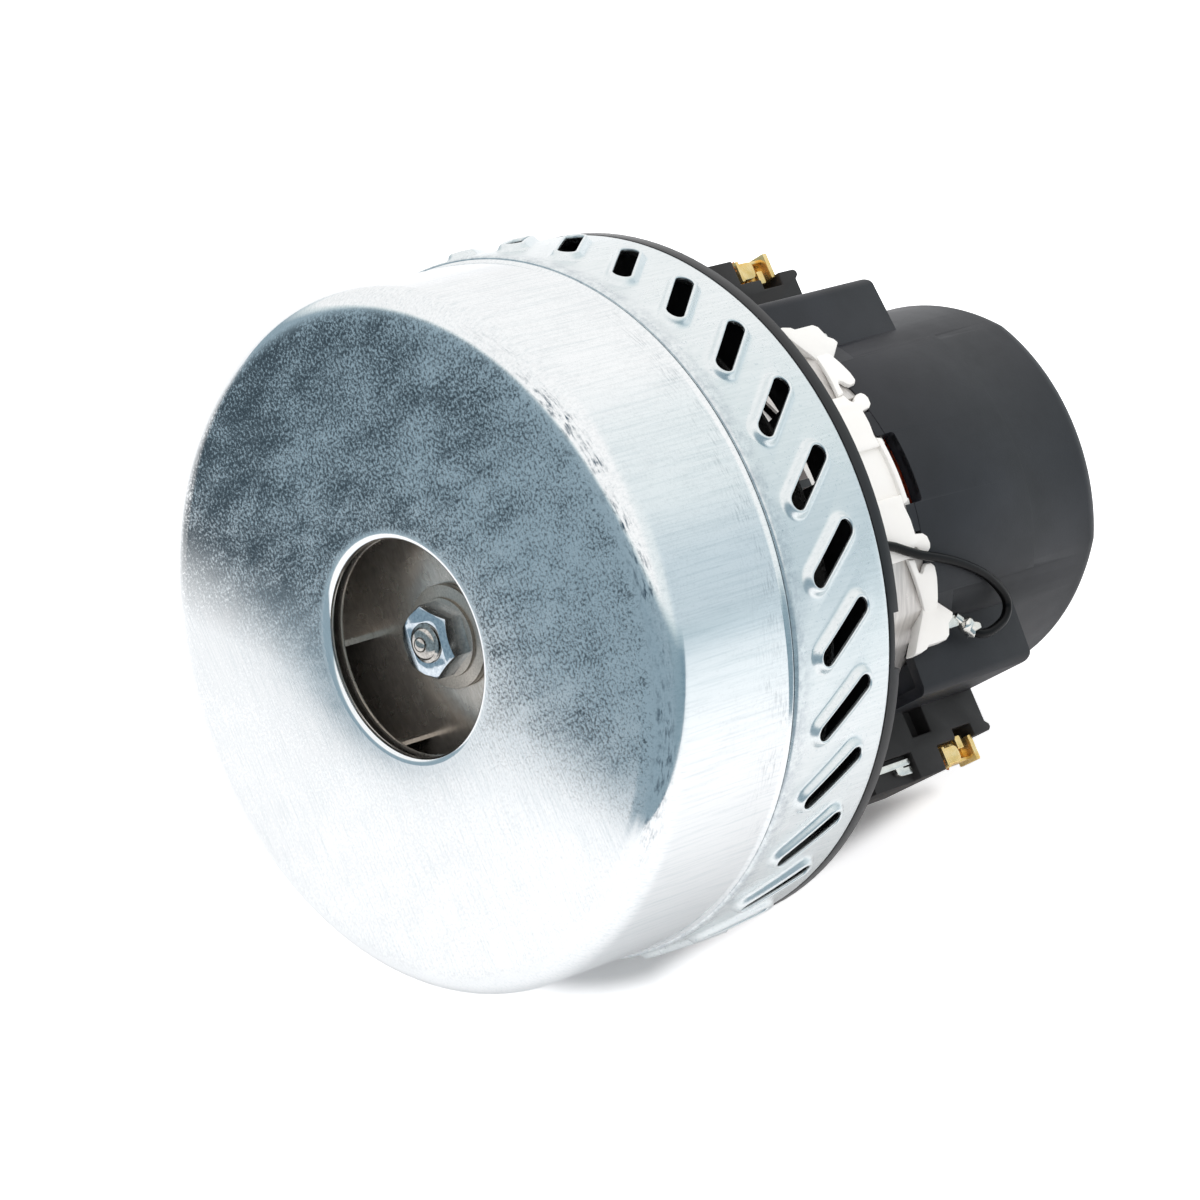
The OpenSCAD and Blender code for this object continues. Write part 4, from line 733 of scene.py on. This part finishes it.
# Rear frame: a band with a recessed panel, wire clips with round heads, and pointed tab pockets at the corners.
# Turns are degrees from the band's middle, heights are millimetres from the inlet face.
BAND = [(7.0, 88.0), (24.0, 88.0), (24.0, 98.8), (24.4, 100.9), (22.2, 101.2), (21.4, 101.7), (21.6, 102.3),
    (22.6, 103.0), (23.4, 104.2), (23.6, 105.6), (22.8, 106.4), (21.4, 106.5), (19.4, 105.9), (18.4, 104.8),
    (18.0, 102.5), (14.0, 102.0), (10.4, 101.2), (7.0, 101.2)]
FINGER = [(24.0, 98.8), (41.0, 104.6), (41.0, 108.2), (36.8, 108.0), (30.5, 107.4), (27.6, 106.8), (26.6, 105.8),
    (26.4, 104.4), (27.2, 103.6), (28.4, 103.2), (28.8, 102.6), (28.0, 101.9), (26.4, 101.3), (24.4, 100.9)]
POCKET = [(26.2, 106.0), (27.0, 104.2), (28.7, 103.4), (36.2, 96.6), (36.3, 98.6), (35.9, 100.6), (35.3, 101.6),
    (35.3, 107.0), (34.6, 108.3), (33.0, 109.2), (32.3, 109.5), (31.4, 111.2), (30.4, 112.0), (26.7, 108.2)]
whites, blacks = [], []
for half in (0, 1):
    whites += [turn_over(bent_plate("panel", [(82.6, 88), (97.4, 88), (97.4, 102.0), (82.6, 102.0)], 41.7, 43.5), half),
        turn_over(bent_plate("lip", [(80.4, 101.3), (99.6, 101.3), (99.0, 102.7), (81.0, 102.7)], 41.8, 44.4), half)]
    for side in (1, -1):
        whites += [turn_over(bent_plate("band", [(90 + side * a, z) for a, z in BAND], 42.4, 44.45, 0.3), half),
            turn_over(bent_plate("finger", [(90 + side * a, z) for a, z in FINGER], 43.8, 44.9, 0.3), half),
            turn_over(bent_plate("flange", [(90 + side * 8.2, 103.6), (90 + side * 60, 103.6), (90 + side * 60, 105.4),
                (90 + side * 8.2, 105.4)], 37.0, 42.2), half),
            turn_over(side_plate("pocket", POCKET, 31.4, 34.6, side, 0.3), half)]
        blacks.append(turn_over(bent_plate("apron", [(90 + side * 34, 100.6), (90 + side * 56, 100.6),
            (90 + side * 56, 114.0), (90 + side * 34, 114.0)], 42.2, 43.46, 0.2), half))
    panel = rounded([(54, 104.5, 0.2), (80, 104.5, 0.3), (80, 107, 0.8), (100, 107, 0.8), (100, 104.5, 0.3),
        (126, 104.5, 0.2), (126, 139, 4.0), (54, 139, 4.0)])
    blacks.append(turn_over(bent_plate("panel_shield", panel, 42.6, 44.15, 0.35), half))
hood_wall = plate("hood_wall", [(-42.3, -26.4), (-36.5, -26.4), (-36.5, 26.4), (-42.3, 26.4)], 1.2, 0.2)
hood_wall.data.transform(Matrix.Translation((0, 0, (HOOD_Z + HOOD_BACK + 0.3) * MM)))
blacks.append(close_seams(hood_wall))
place_piece(joined("rear_frame_moulding", whites), "motor_frame", "ivory_plastic", ivory, "rear_frame")
place_piece(fuller_dome(joined("rear_cover_panels", blacks)), "motor_frame", "black_plastic", black_nylon)

# Corner facets of the core, which reach under the frame's pockets
core_half = max(v.co.x for v in NODES["stator_core"].data.vertices) / MM
lobe_y = math.sqrt(43.2 ** 2 - core_half ** 2)
made = []
for half in (0, 1):
    for side in (1, -1):
        corner = [(17.2, 40.3), (27.7, 34.6), (core_half + 0.4, lobe_y + 0.6), (40.2, 19.6), (38.6, 18.6),
            (core_half - 1, lobe_y - 1), (25.6, 32.2), (16.1, 37.8)]
        piece = plate("corner", [(side * x, y) for x, y in corner], 107.5 - CORE_Z, 0.2)
        piece.data.transform(Matrix.Translation((0, 0, CORE_Z * MM)))
        made.append(turn_over(close_seams(piece), half))
place_piece(joined("core_corner_facets", made), "motor_frame", "lamination", stack)

# Terminal tabs in the pockets, the longer one with the crimp
made = []
for half in (0, 1):
    for side in (1, -1):
        end = 113.6 if not half and side < 0 else 111.0
        tab = rounded([(30.8, 105.0, 0.1), (33.2, 105.0, 0.1), (33.2, end, 0.6), (30.8, end, 0.6)])
        made.append(turn_over(side_plate("tab", tab, 32.6, 33.4, side, 0.15), half))
place_piece(joined("tinned_tabs", made), "motor_frame", "tinned_metal", tinned, "terminal_tabs")

# Brass clips: a folded strip at the end of each brush tube, with a flange, a bright saddle, a step and a tall end wall
for node, name, side in (("brush_tube_a", "brass_clip_a", 1), ("brush_tube_b", "brass_clip_b", -1)):
    saddle = rounded([(53.9, 120.3, 0.3), (57.7, 120.3, 0.4), (57.7, 124.7, 1.2), (53.9, 124.7, 1.4)])
    tongue = rounded([(52.3, 124.9, 0.5), (55.2, 124.9, 0.3), (55.2, 126.8, 0.3), (52.3, 126.8, 0.5)])
    made = [side_plate("tube", [(14.5, 118.5), (55.9, 118.5), (55.9, 129.5), (14.5, 129.5)], -3.9, 3.9, side, 0.2),
        side_plate("flange", [(53.6, 119.6), (58.2, 119.6), (58.2, 120.5), (53.6, 120.5)], 3.7, 9.2, side, 0.2),
        side_plate("saddle", saddle, 6.9, 8.8, side, 0.3),
        side_plate("riser", [(54.2, 124.0), (57.5, 124.0), (57.5, 124.8), (54.2, 124.8)], 4.9, 8.0, side, 0.2),
        side_plate("step", [(53.2, 124.2), (57.5, 124.2), (57.5, 128.7), (53.2, 128.7)], 4.4, 5.9, side, 0.3),
        side_plate("outer_wall", [(57.1, 120.2), (57.8, 120.2), (57.8, 128.8), (57.1, 128.8)], 3.7, 7.9, side, 0.2),
        side_plate("end_wall", [(53.0, 128.3), (58.6, 128.3), (58.6, 129.6), (53.0, 129.6)], 3.7, 9.2, side, 0.25),
        side_plate("tongue", tongue, 7.4, 8.7, side, 0.3)]
    place_piece(joined(name, made), "motor_frame", "brass", brass, node)

# Twisted copper ends of the brush leads, tucked under the clips
for name, side in (("brush_lead_end_a", 1), ("brush_lead_end_b", -1)):
    made = []
    for strand in range(3):
        swing = strand * 2 * math.pi / 3
        twist = [Vector((side * (56.6 + 0.22 * i + 0.3 * math.cos(swing + i * 0.7)),
            7.9 + 0.3 * math.sin(swing + i * 0.7), 118.9 + 0.22 * i)) * MM for i in range(8)]
        made.append(wire_mesh("strand", twist, 0.3 * MM, 3))
    place_piece(joined(name, made), "motor_frame", "copper", copper)

# Forked tabs: a long prong and a short one, with round tips
PRONG = rounded([(53.4, 98.6, 0.1), (54.85, 98.6, 0.1), (54.8, 109.4, 0.7), (53.4, 109.4, 0.65)])
SHORT_PRONG = rounded([(54.4, 104.6, 0.1), (56.0, 104.7, 0.5), (56.6, 105.8, 0.5), (56.75, 108.9, 0.7),
    (56.0, 109.8, 0.4), (55.1, 109.0, 0.4), (55.05, 107.0, 0.15), (54.4, 106.8, 0.1)])
for node, name, side in (("brush_terminal_a", "forked_tab_a", 1), ("brush_terminal_b", "forked_tab_b", -1)):
    made = [side_plate("prong", PRONG, 7.8, 9.2, side, 0.3),
        side_plate("short_prong", SHORT_PRONG, 7.9, 9.1, side, 0.3)]
    place_piece(joined(name, made), "motor_frame", "tinned_metal", tinned, node)

# Lead crimp: a neck from the tab and a flared barrel with a folded rim
crimp = turned_piece("crimp_barrel", [
    (0.0, -2.6), (0.85, -2.6), (0.9, -0.9), (1.15, -0.6), (1.55, -0.35), (1.8, 0.0), (1.85, 0.7), (1.65, 1.1),
    (1.7, 1.5), (2.1, 2.3), (2.15, 2.6), (1.85, 2.6), (1.35, 1.6), (1.2, 1.2), (0.0, 1.2)], 20)
for v in crimp.data.vertices:
    if v.co.z > 0.002:
        ripple = math.atan2(v.co.y, v.co.x) * 5
        v.co.z += 0.0004 * math.sin(ripple)
        v.co.x *= 1 + 0.09 * math.cos(ripple)
crimp.data.transform(Matrix.Translation(CRIMP_AT * MM) @ Matrix.Rotation(math.radians(-49), 4, "Y"))
place_piece(close_seams(crimp, 50), "motor_frame", "tinned_metal", tinned, "lead_crimp")

# Rivet tabs of the vanes on the first back disc
made = []
for k in range(6):
    for along_vane in (3.6, 5.8):
        turn = along_vane / VANE_R - VANE_LEAN
        at = Vector((VANE_FROM - VANE_R * math.cos(VANE_LEAN) + VANE_R * math.cos(turn),
            VANE_R * math.sin(VANE_LEAN) + VANE_R * math.sin(turn), RIVET_Z))
        tab = plate("rivet_tab", [(-0.35, -0.8), (0.35, -0.8), (0.35, 0.8), (-0.35, 0.8)], 0.7, 0.15)
        tab.data.transform(Matrix.Rotation(math.radians(-70 + 60 * k), 4, "Z") @ Matrix.Translation(at * MM)
            @ Matrix.Rotation(turn, 4, "Z"))
        made.append(tab)
place_piece(joined("vane_rivet_tabs", made), "rotor", "impeller_sheet", rolled_aluminium)

# Shaft with a domed end, a chamfer and thread crests ahead of the nut
tip = NUT_Z - 2.5
outline = [(0.0, tip), (0.5, tip + 0.05), (0.95, tip + 0.2), (1.3, tip + 0.45), (1.5, tip + 0.75), (1.55, tip + 1.0),
    (1.95, tip + 1.03), (2.6, tip + 1.12), (3.05, tip + 1.4), (3.3, tip + 1.75)]
thread = tip + 1.8
for k in range(3):
    outline += [(3.3, thread), (3.9, thread + 0.28), (3.9, thread + 0.42), (3.3, thread + 0.7)]
    thread += 0.8
outline += [(4.0, thread + 0.2), (4.0, 54.5), (5.0, 54.6), (5.0, 68.5), (6.0, 68.6), (6.0, 137.5), (5.0, 137.6),
    (5.0, 152.6), (4.0, 152.7), (4.0, 160.0), (3.6, 160.4), (0.0, 160.4)]
shaft = turned_piece("stepped_shaft", outline, 64)
place_piece(shaft, "rotor", "steel", steel, "shaft")


def coil_line(loops, layers, wire, step, lift):
    """Wound loops round a pole, layer on layer, as points in metres."""
    half_w, half_h, corner = 0.325 * CORE_R + 0.4 + wire, 15.65 + wire, 2.5
    y0 = 0.53 * CORE_R + 0.6 + 0.0867 * CORE_R + 0.5 + wire
    made = []
    per = 24
    for i in range(loops * layers * per + 1):
        t = i / per
        layer = min(int(t / loops), layers - 1)
        run = t - layer * loops
        grow = (run if layer % 2 == 0 else loops - run) * step
        side, k = divmod(i % per, 6)
        cx = (1 if side in (0, 3) else -1) * (half_w - corner)
        cz = (1 if side < 2 else -1) * (half_h - corner)
        a = math.radians(side * 90 + min(k, 4) * 22.5)
        x, z = cx + (corner + grow) * math.cos(a), cz + (corner + grow) * math.sin(a)
        if k == 5:
            x, z = [(0, half_h + grow), (-half_w - grow, 0), (0, -half_h - grow), (half_w + grow, 0)][side]
        swell = 5.6 * max(0.0, min(1.0, (z - 12.5) / 3.5)) * max(0.0, 1 - (x / 17) ** 2) * (0.4 + 0.6 * layer / layers)
        made.append(Vector((x, y0 + layer * lift + swell, (CORE_Z + CORE_END) / 2 + z)) * MM)
    return made


# Field coils, wound with more and finer loops than their solids
FIELD_WIRE = 0.47
for node, name, spin in (("field_coil_a", "field_winding_a", 0), ("field_coil_b", "field_winding_b", math.pi)):
    turned = Matrix.Rotation(spin, 3, "Z")
    coil = wire_mesh(name, [turned @ p for p in coil_line(7, 6, FIELD_WIRE, 1.0, 1.02)], FIELD_WIRE * MM, 2)
    place_piece(coil, "motor_frame", "enamel_wire", enamel, node)

# Brush springs, as fixed coils
SPRING_FROM, SPRING_TO, SPRING_R, SPRING_WIRE = 41.15, 55.4, 2.75, 0.4
for node, name, side, joint in (("brush_spring_a", "brush_coil_a", 1, "brush_a_lift"),
        ("brush_spring_b", "brush_coil_b", -1, "brush_b_lift")):
    steps = 6 * 24
    helix = [Vector((side * (SPRING_FROM + (SPRING_TO - SPRING_FROM) * i / steps),
        side * SPRING_R * math.cos(i * math.pi / 12), BRUSH_Z + SPRING_R * math.sin(i * math.pi / 12))) * MM
        for i in range(steps + 1)]
    spring = wire_mesh(name, helix, SPRING_WIRE * MM, 3)
    place_piece(spring, "motor_frame", "spring_steel", spring_wire, node)
    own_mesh(spring)

# Stage: a white table, lit evenly from above, in a room that is dark in front
up = UP.normalized()
behind = (CAMERA_FORWARD - up * CAMERA_FORWARD.dot(up)).normalized()
right = behind.cross(up).normalized()
lowest = min(up.dot(v.co) for part in frame["record"]["subparts"] for v in NODES[part["node"]].data.vertices)
ground = up * lowest
# Table corners to the right of the object and behind it, in metres
TABLE = [(-0.306, -0.28), (2.5, -0.28), (2.5, 2.5), (-2.0, 2.5), (-2.0, 1.583)]
# Where the rim and the lower brush holder touch the table
RIM_FOOT = Vector((-0.0557, -0.0456, 0.0647))
HOLDER_FOOT = Vector((-0.0585, -0.0092, 0.1288))
centre = Vector((0, 0, 0.06))
foot = centre - up * (centre - ground).dot(up)
corners = [foot + right * a + behind * b for a, b in TABLE]
mesh = bpy.data.meshes.new("table")
mesh.from_pydata(corners, [], [tuple(range(len(corners)))])
table = new_object("table", mesh)
if mesh.polygons[0].normal.dot(up) < 0:
    mesh.flip_normals()
# White laminate table top, seen from above only
laminate, tree, shader, place = new_material("white_laminate", Roughness=0.6, Specular_IOR_Level=0.0)
output = tree.nodes["Material Output"]
rays = add_node(tree, "ShaderNodeLightPath")
seen = add_node(tree, "ShaderNodeMath", {0: rays.outputs["Is Glossy Ray"], 1: rays.outputs["Is Transmission Ray"]},
    operation="MAXIMUM")
veined = add_node(tree, "ShaderNodeTexNoise", {"Vector": place, "Scale": 9.0, "Detail": 4.0})
shade = add_node(tree, "ShaderNodeValToRGB", {"Fac": veined.outputs["Fac"]}, stops=[(0.3, "#f2f2f3"), (0.7, "#f6f6f7")])
# In reflections the table greys towards its far right: painted shade
from_foot = add_node(tree, "ShaderNodeVectorMath", {0: place, 1: foot}, operation="SUBTRACT")
far_right = add_node(tree, "ShaderNodeVectorMath", {0: from_foot.outputs["Vector"], 1: right}, operation="DOT_PRODUCT")
reflected_far_shade = add_node(tree, "ShaderNodeValToRGB", {"Fac": far_right.outputs["Value"]},
    stops=[(0.1, "#ffffff"), (0.27, "#e9eff1"), (0.9, "#c9d7dd")])
tone_and_reflected_shade = add_node(tree, "ShaderNodeMix", {
    "Factor": seen.outputs["Value"], "A": shade.outputs["Color"], "B": reflected_far_shade.outputs["Color"]},
    data_type="RGBA", blend_type="MULTIPLY")
tree.links.new(tone_and_reflected_shade.outputs["Result"], shader.inputs["Base Color"])
mirrored = add_node(tree, "ShaderNodeMath", {0: seen.outputs["Value"], 1: 0.12}, operation="MULTIPLY")
# To the camera the table glows white a little way from the line between the touching points and less near it: painted
# light that clears the table's shadow except close to that line
foot_line = HOLDER_FOOT - RIM_FOOT
from_rim = add_node(tree, "ShaderNodeVectorMath", {0: place, 1: RIM_FOOT}, operation="SUBTRACT")
along_line = add_node(tree, "ShaderNodeVectorMath", {
    0: from_rim.outputs["Vector"], 1: foot_line.normalized()}, operation="DOT_PRODUCT")
along_line = add_node(tree, "ShaderNodeClamp", {"Value": along_line.outputs["Value"], "Max": foot_line.length})
nearest = add_node(tree, "ShaderNodeVectorMath", {
    0: foot_line.normalized(), "Scale": along_line.outputs["Result"]}, operation="SCALE")
away = add_node(tree, "ShaderNodeVectorMath", {
    0: from_rim.outputs["Vector"], 1: nearest.outputs["Vector"]}, operation="DISTANCE")
away = add_node(tree, "ShaderNodeMath", {
    0: along_line.outputs["Result"], 1: 0.36, 2: away.outputs["Value"]}, operation="MULTIPLY_ADD")
painted_glow_share = add_node(tree, "ShaderNodeMapRange", {
    "Value": away.outputs["Value"], "From Min": 0.0235, "From Max": 0.032, "To Min": 0.1, "To Max": 0.8},
    interpolation_type="SMOOTHSTEP")
painted_glow = add_node(tree, "ShaderNodeMath", {
    0: rays.outputs["Is Camera Ray"], 1: painted_glow_share.outputs["Result"], 2: mirrored.outputs["Value"]},
    operation="MULTIPLY_ADD")
white = add_node(tree, "ShaderNodeEmission", {"Color": tone_and_reflected_shade.outputs["Result"], "Strength": painted_glow.outputs["Value"]})
lit = add_node(tree, "ShaderNodeAddShader", {0: shader.outputs["BSDF"], 1: white.outputs["Emission"]})
clear = add_node(tree, "ShaderNodeBsdfTransparent")
facing = add_node(tree, "ShaderNodeNewGeometry").outputs["Backfacing"]
one_sided = add_node(tree, "ShaderNodeMixShader", {0: facing, 1: lit.outputs["Shader"], 2: clear.outputs["BSDF"]})
tree.links.new(one_sided.outputs["Shader"], output.inputs["Surface"])
mesh.materials.append(laminate)

# World: even white light, and for reflections a room that is dark low in front and to the left, grey at the right and
# white above
world = bpy.data.worlds.new("studio")
bpy.context.scene.world = world
world.use_nodes = True
tree = world.node_tree
way = add_node(tree, "ShaderNodeTexCoord").outputs["Generated"]
to_light = add_node(tree, "ShaderNodeVectorMath", {0: way, 1: Vector((0.94, 0.674, 0.291))}, operation="DOT_PRODUCT")
to_light = add_node(tree, "ShaderNodeMapRange", {"Value": to_light.outputs["Value"], "From Min": -1.0, "From Max": 1.0})
front = add_node(tree, "ShaderNodeValToRGB", {"Fac": to_light.outputs["Result"]},
    stops=[(0.4, "#8ea3af"), (0.59, "#98acb7"), (0.64, "#dbe5e7"), (0.675, "#ffffff")])
to_right = add_node(tree, "ShaderNodeVectorMath", {0: way, 1: CAMERA_RIGHT}, operation="DOT_PRODUCT")
side_wall = add_node(tree, "ShaderNodeValToRGB", {"Fac": to_right.outputs["Value"]},
    stops=[(0.45, "#ffffff"), (0.62, "#f0f5f6"), (0.84, "#e6eef0"), (0.95, "#cad8df"), (1.0, "#c6d4db")])
room = add_node(tree, "ShaderNodeMix", {
    "Factor": 1.0, "A": front.outputs["Color"], "B": side_wall.outputs["Color"]},
    data_type="RGBA", blend_type="MULTIPLY")
rays = add_node(tree, "ShaderNodeLightPath")
shown = add_node(tree, "ShaderNodeMix", {
    "Factor": rays.outputs["Is Glossy Ray"], "A": (1, 1, 1, 1), "B": room.outputs["Result"]}, data_type="RGBA")
back = tree.nodes["Background"]
tree.links.new(shown.outputs["Result"], back.inputs["Color"])
back.inputs["Strength"].default_value = 1.0

# Softbox over the part, kept out of reflections
box_light = bpy.data.lights.new("softbox_top", "AREA")
box_light.shape = "SQUARE"
box_light.size = 0.9
box_light.energy = 2.4
softbox = new_object("softbox_top", box_light)
softbox.location = centre + up * 0.9 + behind * 0.15
softbox.rotation_mode = "QUATERNION"
softbox.rotation_quaternion = (centre - softbox.location).to_track_quat("-Z", "Y")
softbox.visible_glossy = False
